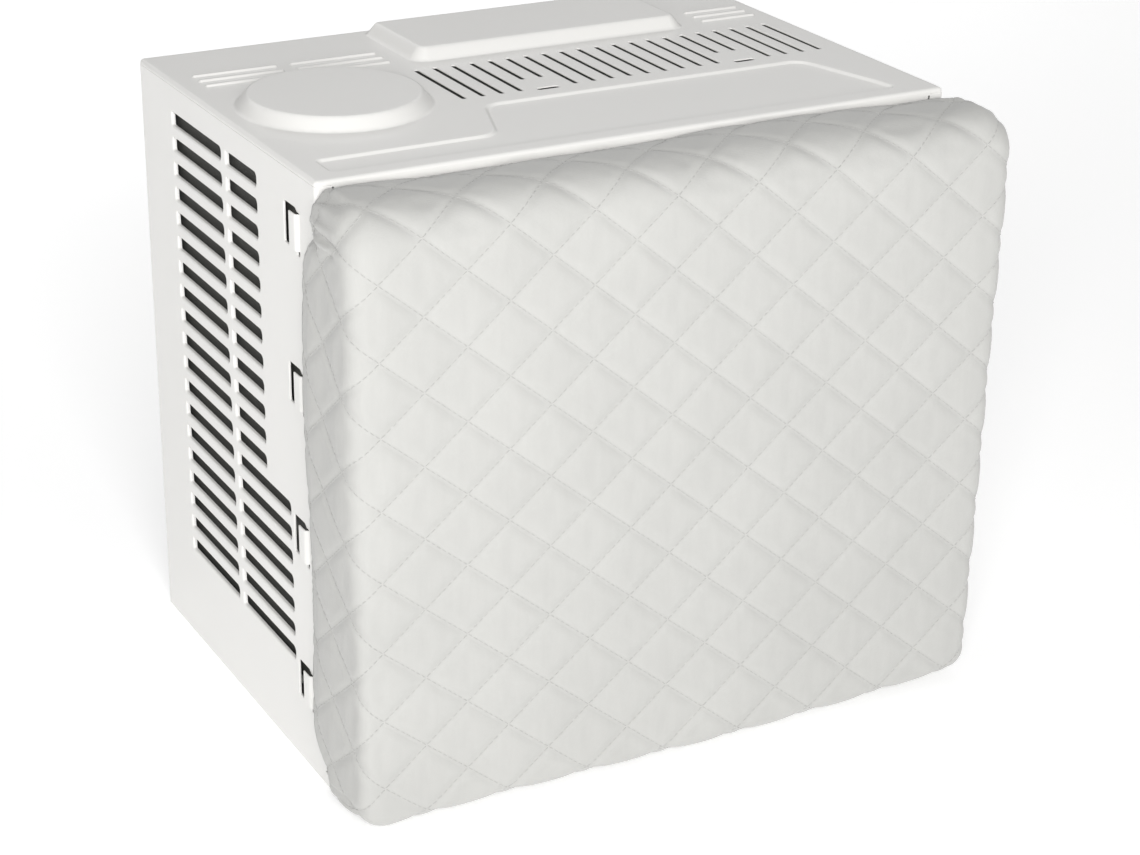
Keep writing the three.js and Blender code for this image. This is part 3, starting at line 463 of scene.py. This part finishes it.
def slab(x0, x1, y0, y1, z0, z1):
    points = [(x, y, z) for x in (x0, x1) for y in (y0, y1) for z in (z0, z1)]
    faces = [[0, 1, 3, 2], [4, 6, 7, 5], [0, 4, 5, 1], [2, 3, 7, 6], [0, 2, 6, 4], [1, 5, 7, 3]]
    return points, faces


def circle(x, y, radius, sides):
    angles = [2 * math.pi * i / sides for i in range(sides)]
    return [(x + radius * math.cos(a), y + radius * math.sin(a)) for a in angles]


def smooth_step(t):
    t = min(1.0, max(0.0, t))
    return t * t * (3 - 2 * t)


def soft_ramp(t, soft=0.22):
    """A straight slope from 0 to 1, rounded off at both ends."""
    if t < soft:
        rise = t * t / (2 * soft)
    elif t > 1 - soft:
        rise = 1 - soft - (1 - t) ** 2 / (2 * soft)
    else:
        rise = t - soft / 2
    return rise / (1 - soft)


class PressedSheet:
    """Sheet metal drawn flat in (u, v): closed loops at given heights, joined by triangles,
    with holes and edges whose walls go on down as rings of the same number of points."""

    def __init__(self):
        self.flat = []
        self.heights = []
        self.edges = []
        self.holes = []
        self.walls = []

    def loop(self, points, height=0.0):
        start = len(self.flat)
        self.flat += points
        self.heights += [height] * len(points)
        ids = list(range(start, start + len(points)))
        self.edges += list(zip(ids, ids[1:] + ids[:1]))
        return ids

    def emboss(self, loop_at, height, slope, steps=7, guard=0.8):
        """A rise or a recess: loop_at(shrink) gives its outline, shrunk."""
        self.loop(loop_at(-guard))
        for i in range(steps + 1):
            self.loop(loop_at(slope * i / steps), height * soft_ramp(i / steps))
        self.loop(loop_at(slope + guard), height)

    def opening(self, loop_at, curl, depth, steps=4):
        """A hole whose edge curls inwards: loop_at(grow) gives its outline, grown."""
        self.loop(loop_at(curl + 0.7))
        rim = self.loop(loop_at(curl))
        self.holes.append(rim)
        rings = []
        for i in range(1, steps + 1):
            angle = math.pi / 2 * i / steps
            rings.append((loop_at(curl * (1 - math.sin(angle))), -curl * (1 - math.cos(angle))))
        rings.append((loop_at(0), -depth))
        self.walls.append((rim, rings, False))

    def border(self, loop_at, bend, depth_of, steps=5):
        """The outer edge, bent down with radius bend; depth_of(u, v) is how far its flange goes."""
        self.loop(loop_at(-0.8))
        rim = self.loop(loop_at(0))
        rings = []
        for i in range(1, steps + 1):
            angle = math.pi / 2 * i / steps
            rings.append((loop_at(bend * math.sin(angle)), -bend * (1 - math.cos(angle))))
        last = loop_at(bend)
        rings.append((last, [-depth_of(u, v) for u, v in last]))
        self.walls.append((rim, rings, True))

    def build(self, place):
        """Vertices and faces; place(u, v, h) puts a point into the drawing."""
        found = delaunay_2d_cdt([Vector(p) for p in self.flat], self.edges, self.holes, 0, 1e-5)
        flat, triangles, origin, from_faces = found[0], found[2], found[3], found[5]
        points = []
        index = {}
        for i, (position, sources) in enumerate(zip(flat, origin)):
            height = self.heights[sources[0]] if sources else 0.0
            for source in sources:
                index[source] = i
            points.append(place(position.x, position.y, height))
        faces = [list(t) for t, hole in zip(triangles, from_faces) if not hole]
        for rim, rings, outward in self.walls:
            previous = [index[i] for i in rim]
            for loop, height in rings:
                level = height if isinstance(height, list) else [height] * len(loop)
                start = len(points)
                points += [place(u, v, h) for (u, v), h in zip(loop, level)]
                current = list(range(start, start + len(loop)))
                for i in range(len(loop)):
                    j = (i + 1) % len(loop)
                    quad = [previous[i], previous[j], current[j], current[i]]
                    faces.append(quad if not outward else quad[::-1])
                previous = current
        return points, faces


def outline(corners, shrink=0.0, arc=6):
    """A closed outline with rounded corners (u, v, radius), anticlockwise, moved inwards by shrink."""
    points = []
    count = len(corners)
    for i, (u, v, radius) in enumerate(corners):
        before = Vector(corners[i - 1][:2])
        here = Vector((u, v))
        after = Vector(corners[(i + 1) % count][:2])
        way_in, way_out = (here - before).normalized(), (after - here).normalized()
        left_in, left_out = Vector((-way_in.y, way_in.x)), Vector((-way_out.y, way_out.x))
        apex = here + (left_in + left_out) * (shrink / (1 + left_in.dot(left_out)))
        turn = math.atan2(way_in.x * way_out.y - way_in.y * way_out.x, way_in.dot(way_out))
        side = 1 if turn > 0 else -1
        r = max(radius - side * shrink, 0.05)
        centre = apex - way_in * (r * math.tan(abs(turn) / 2)) + left_in * (side * r)
        start = -left_in * (side * r)
        for k in range(arc + 1):
            points.append(tuple(centre + Matrix.Rotation(turn * k / arc, 2) @ start))
    return points


def box_corners(u0, u1, v0, v1, radius):
    return [(u0, v0, radius), (u1, v0, radius), (u1, v1, radius), (u0, v1, radius)]


# ------------------------------------------------------------------ cabinet sheets


def edge_ring(u0, u1, v0, v1, upright, insets=(13.0, 15.0)):
    """The edge of a cabinet sheet as a function of how far it is bent: full bend along U, and
    upright times that along V. Points inset from the corners let a flange stop short of them."""

    def loop_at(grow):
        a0, a1 = u0 + BEND - grow, u1 - BEND + grow
        b0, b1 = v0 + (BEND - grow) * upright, v1 - (BEND - grow) * upright
        corner = 0.6 + max(grow, 0) * upright
        arc = 4
        bare = outline(box_corners(a0, a1, b0, b1, corner), 0, arc)
        points = []
        for i, here in enumerate(bare):
            points.append(here)
            after = bare[(i + 1) % len(bare)]
            if i % (arc + 1) == arc:
                span = Vector(after) - Vector(here)
                step = span.normalized()
                points += [tuple(Vector(here) + step * d) for d in insets]
                points += [tuple(Vector(after) - step * d) for d in reversed(insets)]
        return points

    return loop_at


def slot_corners(y0, y1, z):
    """A slot whose front end is rounder than its rear one."""
    low, high = z - SLOT["height"] / 2, z + SLOT["height"] / 2
    front, rear = SLOT["corners"]
    return [(y0, low, front), (y1, low, rear), (y1, high, rear), (y0, high, front)]


def hook_opening(z):
    """The hole behind a lanced hook, with its relief at the foot."""
    corners = [
        (1.2, -16.5, 1.2),
        (5.6, -16.5, 1.2),
        (6.2, -13, 0.5),
        (26.2, -13, 1.5),
        (26.2, 15.4, 2.6),
        (7.5, 15.4, 2.6),
        (4.5, 13, 0.8),
        (1.2, 13, 0.6),
    ]
    return [(HOOK["root"] + u, z + v, r) for u, v, r in corners]


def hook_tab(side, z):
    """A tab lanced out of the side: a swan-neck bend, then a flat tongue off the sheet."""
    bend = [(0, 0), (0.3, 0.7), (1.1, 1.3), (1.9, 1.9), (2.4, 2.7), (2.6, 3.8)]
    path = bend + [(2.6, 5), (2.6, 11.7), (2.45, 12.4)]
    rows = [-12.5, -12.1, 12.1, 12.5]
    points = [(side * (HALF + x), HOOK["root"] + y, z + dz) for x, y in path for dz in rows]
    width = len(rows)
    faces = [
        [i * width + j, i * width + j + 1, (i + 1) * width + j + 1, (i + 1) * width + j]
        for i in range(len(path) - 1)
        for j in range(width - 1)
    ]
    return points, faces


def face_outwards(mesh, outward):
    """Turns each loose part of an open sheet so that its largest face looks outward."""
    bm = bmesh.new()
    bm.from_mesh(mesh)
    bmesh.ops.remove_doubles(bm, verts=bm.verts, dist=1e-6)
    bmesh.ops.recalc_face_normals(bm, faces=bm.faces)
    left = set(bm.faces)
    while left:
        seed = next(iter(left))
        part, front = {seed}, [seed]
        while front:
            for edge in front.pop().edges:
                for near in edge.link_faces:
                    if near not in part:
                        part.add(near)
                        front.append(near)
        largest = max(part, key=lambda f: f.calc_area())
        if largest.normal.dot(outward) < 0:
            bmesh.ops.reverse_faces(bm, faces=list(part))
        left -= part
    bm.to_mesh(mesh)
    bm.free()


def sheet_metal(name, parts, material, outward, node, thickness=SHEET):
    """Joins (points, faces) parts into one sheet-metal piece with thickness, in place of a CAD node."""
    piece = new_piece(name, *join_parts(parts), material, "chassis", "paint")
    face_outwards(piece.data, Vector(outward))
    piece.data.shade_smooth()
    modify(piece, "SOLIDIFY", thickness=thickness * MM, offset=-1)
    modify(piece, "BEVEL", width=0.25 * MM, segments=2, angle_limit=math.radians(50))
    modify(piece, "WEIGHTED_NORMAL", keep_sharp=True)
    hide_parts(node)


def side_panel(side, material):
    sheet = PressedSheet()

    def flange(y, _):
        return FLANGE if y < 0.5 or y > DEPTH - 0.5 else BEND + 0.8

    sheet.border(edge_ring(0, DEPTH, 0, SEAM_Z, 0.2), BEND, flange)
    for row in range(SLOT["rows"]):
        z = SLOT["first_z"] - row * SLOT["pitch"]
        front = FRONT_SLOT["short"] if row < SLOT["short_rows"] else FRONT_SLOT["long"]
        for y0, y1 in (REAR_SLOT, (front, FRONT_SLOT["end"])):
            corners = slot_corners(y0, y1, z)
            sheet.opening(lambda grow, c=corners: outline(c, -grow), SLOT["curl"], SLOT["depth"])
    parts = []
    for i in range(HOOK["count"]):
        z = HOOK["first_z"] - i * HOOK["pitch"]
        sheet.opening(lambda grow, c=hook_opening(z): outline(c, -grow, 4), 0.5, 1.4, 2)
        parts.append(hook_tab(side, z))
    if side > 0:
        low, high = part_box("cord_grommet")
        y, z = (low.y + high.y) / 2 / MM - FRONT_Y, (low.z + high.z) / 2 / MM
        sheet.opening(lambda grow: circle(y, z, CORD_HOLE + grow, 32), 0.5, 1.4, 2)
    parts.append(sheet.build(lambda y, z, h: (side * (HALF + h), y, z)))
    node = "right_side_panel" if side > 0 else "left_side_panel"
    sheet_metal(node + "_shell", parts, material, (side, 0, 0), node)


def top_panel(materials):
    sheet = PressedSheet()
    skirt = HEIGHT - SEAM_Z

    def flange(x, y):
        at_end = y < 0.5 or y > DEPTH - 0.5
        return FLANGE if at_end and abs(x) < HALF - 12 else skirt

    ring_at = edge_ring(0, DEPTH, -HALF, HALF, 1.0, (8.2, 9.4))
    sheet.border(lambda grow: [(v, u) for u, v in reversed(ring_at(grow))], BEND, flange)
    sheet.emboss(lambda s: circle(DISC["x"], DISC["y"], DISC["radius"] - s, 120), EMBOSS, EMBOSS)
    deck = box_corners(PLATFORM["x0"], PLATFORM["x1"], PLATFORM["y0"], PLATFORM["y1"], PLATFORM["corner"])
    for i in (2, 3):
        deck[i] = (*deck[i][:2], PLATFORM["rear_corner"])
    sheet.emboss(lambda s: outline(deck, s, 10), EMBOSS, EMBOSS)
    for y in RIB["rows"]:
        for x0, x1 in RIB["spans"]:
            half = RIB["width"] / 2
            capsule = box_corners(x0, x1, y - half, y + half, half - 0.05)
            sheet.emboss(lambda s, c=capsule: outline(c, s, 5), RIB["height"], 1.6, 5, 0.4)
    hollow = [
        (-223, 15, 5),
        (212, 15, 6),
        (207, 40, 20),
        (189, 106, 16),
        (-70, 106, 18),
        (-92, 43, 16),
        (-223, 43, 6),
    ]
    sheet.emboss(lambda s: outline(hollow, s, 8), -RECESS, 3.0, 6)
    pitch = (VENT["last_x"] - VENT["first_x"]) / (VENT["count"] - 1)
    half = VENT["width"] / 2
    for i in range(VENT["count"]):
        x = VENT["first_x"] + i * pitch
        front = VENT["front"] + (CUT_VENTS["by"] if i in CUT_VENTS["which"] else 0)
        corners = box_corners(x - half, x + half, front, VENT["rear"], 1.6)
        sheet.opening(lambda grow, c=corners: outline(c, -grow, 4), 0.45, 1.0, 3)
    for x in BRIDGE["x"]:
        a, b = BRIDGE["length"] / 2, BRIDGE["width"] / 2
        corners = box_corners(x - a, x + a, BRIDGE["y"] - b, BRIDGE["y"] + b, 2)
        sheet.opening(lambda grow, c=corners: outline(c, -grow, 5), 0.5, 0.9, 3)
    parts = [sheet.build(lambda x, y, h: (x, y, HEIGHT + h))]
    margin = 9
    across = VENT["first_x"] - margin, VENT["last_x"] + margin
    along = VENT["front"] - margin, VENT["rear"] + margin
    liner = slab(*across, *along, HEIGHT - 3, HEIGHT - 2.4)
    new_piece("top_vent_screen", *liner, materials["screen"], "chassis", "screen", smooth=False)
    sheet_metal("top_panel_shell", parts, materials["paint"], (0, 0, 1), "top_panel")


def sweep(path, radius, sides=10, closed=False, squeeze=None):
    """A round bar along points. squeeze(i) gives (scale across, scale up) of the section."""
    line = np.asarray(path, float)
    count = len(line)
    points, faces = [], []
    normal = None
    for i in range(count):
        ahead = line[(i + 1) % count] if closed else line[min(i + 1, count - 1)]
        behind = line[i - 1] if closed else line[max(i - 1, 0)]
        tangent = (ahead - behind) / np.linalg.norm(ahead - behind)
        if normal is None:
            guess = np.array((0, 0, 1.0)) if abs(tangent[2]) < 0.9 else np.array((0, 1.0, 0))
            normal = np.cross(tangent, guess)
        normal = normal - tangent * (normal @ tangent)
        normal = normal / np.linalg.norm(normal)
        across = np.cross(tangent, normal)
        a, b = squeeze(i) if squeeze else (1, 1)
        for k in range(sides):
            angle = 2 * math.pi * k / sides
            offset = normal * (math.cos(angle) * a) + across * (math.sin(angle) * b)
            points.append(tuple(line[i] + offset * radius))
    for i in range(count if closed else count - 1):
        for k in range(sides):
            n = (k + 1) % sides
            j = (i + 1) % count
            faces.append([i * sides + k, i * sides + n, j * sides + n, j * sides + k])
    if not closed:
        faces.append(list(range(sides))[::-1])
        faces.append([(count - 1) * sides + k for k in range(sides)])
    return points, faces


def rear_guard(material):
    """A frame plate behind the condenser, with a grid of wire across its window."""
    low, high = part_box("rear_guard")
    x, z0, z1 = high.x / MM, low.z / MM, high.z / MM
    face = high.y / MM - FRONT_Y
    border = GUARD_BORDER
    sheet = PressedSheet()
    plain = box_corners(-x, x, z0, z1, 2)
    sheet.border(lambda grow: outline(plain, 0.8 - grow), 0.8, lambda u, v: 1.6, 3)
    window = box_corners(border - x, x - border, z0 + border, z1 - border, 9)
    sheet.opening(lambda grow: outline(window, -grow), 2.0, 3.2)
    for side in (-1, 1):
        for height in SCREW["heights"]:
            at = (side * SCREW["x"], height)
            sheet.opening(lambda grow, at=at: circle(*at, SCREW["radius"] + grow, 24), 0.3, 1.0, 2)
    plate = sheet.build(lambda u, v, h: (u, face + h, v))
    sheet_metal("rear_guard_frame", [plate], material, (0, 1, 0), "rear_guard", 0.8)
    hold = 5  # how far a wire's end runs on behind the frame plate
    level, upright = face - 2.1, face - 3.9
    span, rise = x - border + hold, z1 - z0 - 2 * border
    wires = []
    for i in range(1, GUARD_ROWS):
        z = z0 + border + rise * i / GUARD_ROWS
        wires.append(sweep([(-span, level, z), (span, level, z)], WIRE_RADIUS))
    for share in GUARD_UPRIGHTS:
        u = share * (x - border)
        ends = [(u, upright, z0 + border - hold), (u, upright, z1 - border + hold)]
        wires.append(sweep(ends, WIRE_RADIUS))
    wire = new_piece("rear_guard_wires", *join_parts(wires), material, "chassis", "paint")
    modify(wire, "BEVEL", width=0.2 * MM, segments=1, angle_limit=math.radians(50))


# ------------------------------------------------------------------ coils


def finned_coil(node, columns, materials):
    """A block of thin fins between two end plates, and the return bends that join its two columns
    of tubes, which stand at Y = columns."""
    low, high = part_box(node)
    x1, z0, z1 = high.x / MM, low.z / MM, high.z / MM
    y0, y1 = low.y / MM - FRONT_Y, high.y / MM - FRONT_Y
    plate = 2
    reach = x1 - plate - 0.8
    count = int(2 * reach / FIN_PITCH)
    parts = []
    for i in range(count + 1):
        x = -reach + 2 * reach * i / count
        parts.append(slab(x - FIN_HALF, x + FIN_HALF, y0 + 1, y1 - 1, z0 + 1, z1 - 1))
    fins = new_piece(node + "_fins", *join_parts(parts), materials["fins"], "chassis", "fins", smooth=False)
    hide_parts(node)
    plates = join_parts([slab(x, x + plate, y0, y1, z0, z1) for x in (-x1, x1 - plate)])
    zinc_sheet = materials["galvanised"]
    ends = new_piece(node + "_end_plates", *plates, zinc_sheet, "chassis", "galvanised", smooth=False)
    modify(ends, "BEVEL", width=0.4 * MM, segments=2)
    first, second = columns
    radius, middle = (second - first) / 2, (first + second) / 2
    bends = []
    first_z = z0 + 12
    rows = int((z1 - z0 - 20) / TUBE_PITCH)
    for row in range(rows + 1):
        z = first_z + row * TUBE_PITCH
        for side in (-1, 1):
            arc = [
                (side * (x1 + 0.2 + radius * math.sin(a)), middle - radius * math.cos(a), z)
                for a in (math.pi * k / 10 for k in range(11))
            ]
            root = side * (x1 - 1)
            bends.append(sweep([(root, first, z), *arc, (root, second, z)], TUBE_RADIUS))
    new_piece(node + "_return_bends", *join_parts(bends), materials["copper"], "chassis", "copper")


# ------------------------------------------------------------------ quilted cover


class CoverForm:
    """The cover's cloth, as a flat pattern bent over the front. (u, v) is a place in the pattern."""

    def __init__(self):
        self.half_x = COVER_X - COVER_EDGE
        self.z0 = COVER_LIFT + COVER_EDGE
        self.z1 = HEIGHT - COVER_TOP_EDGE
        self.middle = (self.z0 + self.z1) / 2
        self.half_z = (self.z1 - self.z0) / 2
        self.corner = COVER_CORNER - COVER_EDGE

    def edge(self, up):
        """Radius of the rounding where the outward direction has this much Z in it."""
        return COVER_EDGE + (COVER_TOP_EDGE - COVER_EDGE) * max(up, 0) ** 2

    def beyond(self, u, v):
        """Distance outside the flat front, and the direction out of it in (x, z)."""
        qx, qz = abs(u) - (self.half_x - self.corner), abs(v - self.middle) - (self.half_z - self.corner)
        sx, sz = math.copysign(1, u), math.copysign(1, v - self.middle)
        if qx <= 0 and qz <= 0:
            return max(qx, qz) - self.corner, (0.0, 0.0)
        out_x, out_z = max(qx, 0), max(qz, 0)
        length = math.hypot(out_x, out_z)
        return length - self.corner, (sx * out_x / length, sz * out_z / length)

    def hem_y(self, base_z, sideways):
        """Where the rear edge is: over the cabinet's sides, drawn forward at the corners."""
        t = (abs(base_z - self.middle) - self.half_z + self.corner) / HEM_TURN + 1
        t = min(1.0, max(0.0, t))
        return HEM_Y + HEM_LAP * (1 - t * t) ** 0.8 * smooth_step(sideways * 1.6 - 0.5)

    def length_to_hem(self, u, v):
        """Distance along the cloth from the flat front's edge to the hem, the way out of (u, v)."""
        d, (nx, nz) = self.beyond(u, v)
        base_z = v - nz * max(d, 0)
        radius = self.edge(nz)
        return radius * (math.pi / 2 - 1) + self.hem_y(base_z, abs(nx)) - COVER_FRONT

    def point(self, u, v):
        """Where (u, v) comes to, its outward direction, its distance past the flat front, and how
        far the gathers at a corner lift it."""
        d, (nx, nz) = self.beyond(u, v)
        if d <= 0:
            return np.array((u, COVER_FRONT, v)), np.array((0, -1.0, 0)), d, 0.0
        past = d
        end = self.length_to_hem(u, v)
        d = min(past, end)
        base = np.array((u - nx * past, 0, v - nz * past))
        radius = self.edge(nz)
        if d < radius * math.pi / 2:
            angle = d / radius
            out, y = radius * math.sin(angle), COVER_FRONT + radius * (1 - math.cos(angle))
            normal = np.array((nx * math.sin(angle), -math.cos(angle), nz * math.sin(angle)))
        else:
            out, y = radius, COVER_FRONT + radius + d - radius * math.pi / 2
            normal = np.array((nx, 0, nz))
        out -= COVER_TAPER * smooth_step((d - end + TAPER_LENGTH) / TAPER_LENGTH)
        base += np.array((nx, 0, nz)) * out
        base[1] = y
        slack = (self.corner + past) / (self.corner + out) - 1
        round_corner = math.sin(2 * math.atan2(abs(nz), abs(nx)))
        calm = 1 - 0.7 * smooth_step((d - end + 22) / 20)
        wave = math.sin(GATHER["turns"] * math.atan2(nz, nx) + GATHER["phase"])
        fold = GATHER["depth"] * calm * min(1.0, slack) * min(1.0, 3 * round_corner) * wave
        return base, normal, past, fold


def on_pattern(i, j):
    """The grid point (i, j) in the pattern. CELLS steps of I or J run along one side of a diamond."""
    p, q = i / CELLS, j / CELLS
    return DIAMOND_NODE[0] + DIAMOND[0] * (p + q) / 2, DIAMOND_NODE[1] + DIAMOND[1] * (p - q) / 2


def grid_range(form):
    """The lowest and highest I and J that the pattern needs."""
    reach = 130
    us = [(u - DIAMOND_NODE[0]) / DIAMOND[0] for u in (-form.half_x - reach, form.half_x + reach)]
    vs = [(v - DIAMOND_NODE[1]) / DIAMOND[1] for v in (form.z0 - reach, form.z1 + reach)]
    limits = []
    for line in ([u + v for u in us for v in vs], [u - v for u in us for v in vs]):
        limits += [math.floor(min(line)) * CELLS, math.ceil(max(line)) * CELLS]
    return limits


def grid_cells(form):
    """The grid's squares as far as the hem, and for each grid point whether it is before the hem."""
    i0, i1, j0, j1 = grid_range(form)
    margin = 8
    inside = {}
    for i in range(i0, i1 + 1):
        for j in range(j0, j1 + 1):
            u, v = on_pattern(i, j)
            slack = form.length_to_hem(u, v) - form.beyond(u, v)[0]
            if slack > -margin:
                inside[i, j] = slack > 0
    cells = []
    for i, j in inside:
        square = [(i, j), (i + 1, j), (i + 1, j + 1), (i, j + 1)]
        if all(c in inside for c in square) and any(inside[c] for c in square):
            cells.append(square)
    return cells, inside


def sway(u, v, past):
    """The padding's slow unevenness: a gentle wave over the front, a livelier one on the walls."""
    front = 1.5 * math.sin(u / 83 + 1.3) * math.cos(v / 97 - 0.6)
    walls = 1.4 * smooth_step((past + 5) / 40) * (0.6 + math.sin(v / 41 + 2 * math.sin(u / 57)))
    return front * (1 - smooth_step((past - 20) / 40)) + walls


def quilted_cover(materials):
    """The padded cloth, on a mesh whose lines follow the stitching, with its thread and its hem."""
    form = CoverForm()
    cells, inside = grid_cells(form)
    used = sorted({c for square in cells for c in square})
    number = {c: n for n, c in enumerate(used)}
    points, outward, pins = [], [], []
    for i, j in used:
        u, v = on_pattern(i, j)
        base, normal, past, fold = form.point(u, v)
        on_seam = i % CELLS == 0 or j % CELLS == 0
        dome = math.sin(math.pi * (i % CELLS) / CELLS) * math.sin(math.pi * (j % CELLS) / CELLS)
        calm = 1 - 0.6 * smooth_step((past - 50) / 40)
        lift = (-SEAM_SUNK if on_seam else PUFF["height"] * math.sqrt(dome) + PUFF["base"]) * calm
        outward.append(normal)
        points.append(base + normal * (lift + fold + sway(u, v, past)))
        pins.append(on_seam or not inside[i, j] or past > 80)
    faces = [[number[c] for c in square] for square in cells]
    points, outward = np.array(points), np.array(outward)

    piece = new_piece("quilted_cover_cloth", points, faces, materials["quilt"], "cover", "quilt")
    mesh = piece.data
    some = list(mesh.polygons)[:400]
    if sum(Vector(outward[f.vertices[0]]).dot(f.normal) for f in some) < 0:
        mesh.flip_normals()
    puff(piece, pins, to_frame(points))
    crease = mesh.attributes.new("crease_edge", "FLOAT", "EDGE")
    stitched = [on_one_line(used, edge.vertices) for edge in mesh.edges]
    crease.data.foreach_set("value", [0.75 if s else 0.0 for s in stitched])
    modify(piece, "SUBSURF", levels=1, render_levels=1)
    tree = surface_of(piece)
    modify(piece, "SOLIDIFY", thickness=COVER_THICK * MM, offset=-1)
    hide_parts("quilted_cover")

    ends = []
    for edge, on_line in zip(mesh.edges, stitched):
        if on_line and all(inside[used[i]] for i in edge.vertices):
            ends.append([mesh.vertices[i].co.copy() for i in edge.vertices])
    thread = stitches(tree, ends, materials["thread"])
    hem = elastic_hem(form, materials["binding"])
    width = 2 * (form.half_x + form.length_to_hem(form.half_x + 1, form.middle))
    height = 2 * form.half_z
    height += form.length_to_hem(0, form.z0 - 1) + form.length_to_hem(0, form.z1 + 1)


def on_one_line(used, pair):
    """Whether both ends of an edge lie on the same stitch line."""
    (i0, j0), (i1, j1) = used[pair[0]], used[pair[1]]
    return (i0 == i1 and i0 % CELLS == 0) or (j0 == j1 and j0 % CELLS == 0)


def puff(piece, pins, rest):
    """Blows the wadding up between the stitch lines, which stay put: cloth with a little slack."""
    group = piece.vertex_groups.new(name="stitched")
    group.add([i for i, pinned in enumerate(pins) if pinned], 1.0, "REPLACE")
    cloth = piece.modifiers.new("Cloth", "CLOTH")
    settings = cloth.settings
    settings.quality = 4
    settings.mass = 0.2
    settings.tension_stiffness = 12
    settings.compression_stiffness = 12
    settings.shear_stiffness = 4
    settings.bending_stiffness = 0.15
    settings.vertex_group_mass = "stitched"
    settings.use_pressure = True
    settings.uniform_pressure_force = 0.7
    settings.shrink_min = -0.01
    settings.effector_weights.gravity = 0
    cloth.collision_settings.use_collision = False
    scene = bpy.context.scene
    last = 20
    cloth.point_cache.frame_start, cloth.point_cache.frame_end = 1, last
    for moment in range(1, last + 1):
        scene.frame_set(moment)
    evaluated = piece.evaluated_get(bpy.context.evaluated_depsgraph_get())
    moved = np.zeros(len(piece.data.vertices) * 3)
    evaluated.data.vertices.foreach_get("co", moved)
    step = moved.reshape(-1, 3) - rest
    length = np.linalg.norm(step, axis=1, keepdims=True)
    step *= np.minimum(1.0, PUFF["limit"] * MM / np.maximum(length, 1e-9))
    piece.modifiers.remove(cloth)
    scene.frame_set(1)
    piece.data.vertices.foreach_set("co", (rest + step).ravel())
    piece.data.update()


def surface_of(piece):
    """The cloth's outer surface, subdivided as it is drawn, as a tree to find points on."""
    copy = bmesh.new()
    copy.from_object(piece, bpy.context.evaluated_depsgraph_get())
    tree = BVHTree.FromBMesh(copy)
    copy.free()
    return tree


def stitches(tree, ends, material):
    """One dash of thread for each pair of ends, sunk a little into the cloth between stitches."""
    parts = []
    for a, b in ends:
        points = []
        for share, height in DASH:
            place, normal, _, _ = tree.find_nearest(a.lerp(b, share))
            points.append(tuple((place + normal * (height * MM)) / MM - Vector((0, FRONT_Y, 0))))
        parts.append(sweep(points, THREAD_RADIUS, 5))
    return new_piece("quilting_stitches", *join_parts(parts), material, "cover", "binding")


def elastic_hem(form, material):
    """The gathered elastic edging round the cover's rear edge."""
    inwards = COVER_TAPER + HEM_INSET
    path = []
    straight, tall = form.half_x - form.corner, form.half_z - form.corner
    quarters = ((1, 1, 0), (-1, 1, 90), (-1, -1, 180), (1, -1, 270))
    arc = 16
    for k, (sx, sz, start) in enumerate(quarters):
        for i in range(arc + 1):
            angle = math.radians(start + 90 * i / arc)
            nx, nz = math.cos(angle), math.sin(angle)
            reach = form.corner + form.edge(nz) - inwards
            base_z = form.middle + sz * tall + form.corner * nz
            y = form.hem_y(base_z, abs(nx))
            path.append((sx * straight + reach * nx, y, form.middle + sz * tall + reach * nz))
        across = k % 2 == 0
        length = 2 * (straight if across else tall)
        steps = int(length / 3)
        x, _, z = path[-1]
        for i in range(1, steps):
            move = length * i / steps
            if across:
                path.append((x - sx * move, form.hem_y(form.z1, 0), z))
            else:
                here = z - sz * move
                path.append((x, form.hem_y(here, 1), here))
    fine = []
    for a, b in zip(path, path[1:] + path[:1]):
        fine += [tuple(np.array(a) + (np.array(b) - a) * t) for t in (0, 0.5)]
    rng = np.random.default_rng(5)
    wobble = np.cumsum(rng.normal(0, 0.25, len(fine)))

    def gathers(i):
        ripple = 0.13 * math.sin(i * 1.35 + wobble[i])
        return 0.82 + ripple, 1.0 + 0.6 * ripple

    tube = sweep(fine, HEM_RADIUS, 12, True, gathers)
    hem = new_piece("gathered_hem", *tube, material, "cover", "binding")
    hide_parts("elastic_band")
    return hem


# ------------------------------------------------------------------ pieces carried over


def finish_nodes(materials):
    """Gives each CAD node still shown its material, softened edges, and its edges split where they turn by
    more than 32 degrees.
    """
    slots = {part["node"]: part["material_slot"] for part in frame["record"]["subparts"]}
    bevels = {"fins": 0.3, "copper": 0.0, "rubber": 0.6, "screen": 0.0, "foam": 1.2}
    for name, node in frame["nodes"].items():
        if node.hide_render:
            continue
        node.data.materials.clear()
        node.data.materials.append(materials[slots[name]])
        modify(node, "WELD", merge_threshold=1e-5)
        width = bevels.get(slots[name], 0.5)
        if width:
            modify(node, "BEVEL", width=width * MM, segments=2, angle_limit=math.radians(32))
        modify(node, "EDGE_SPLIT", split_angle=math.radians(32))


camera()
studio()
floor()
materials = all_materials()
for side in (-1, 1):
    side_panel(side, materials["paint"])
top_panel(materials)
rear_guard(materials["paint"])
finned_coil("condenser_coil", (283.5, 296.5), materials)
finned_coil("evaporator_coil", (17.5, 30.5), materials)
quilted_cover(materials)
finish_nodes(materials)
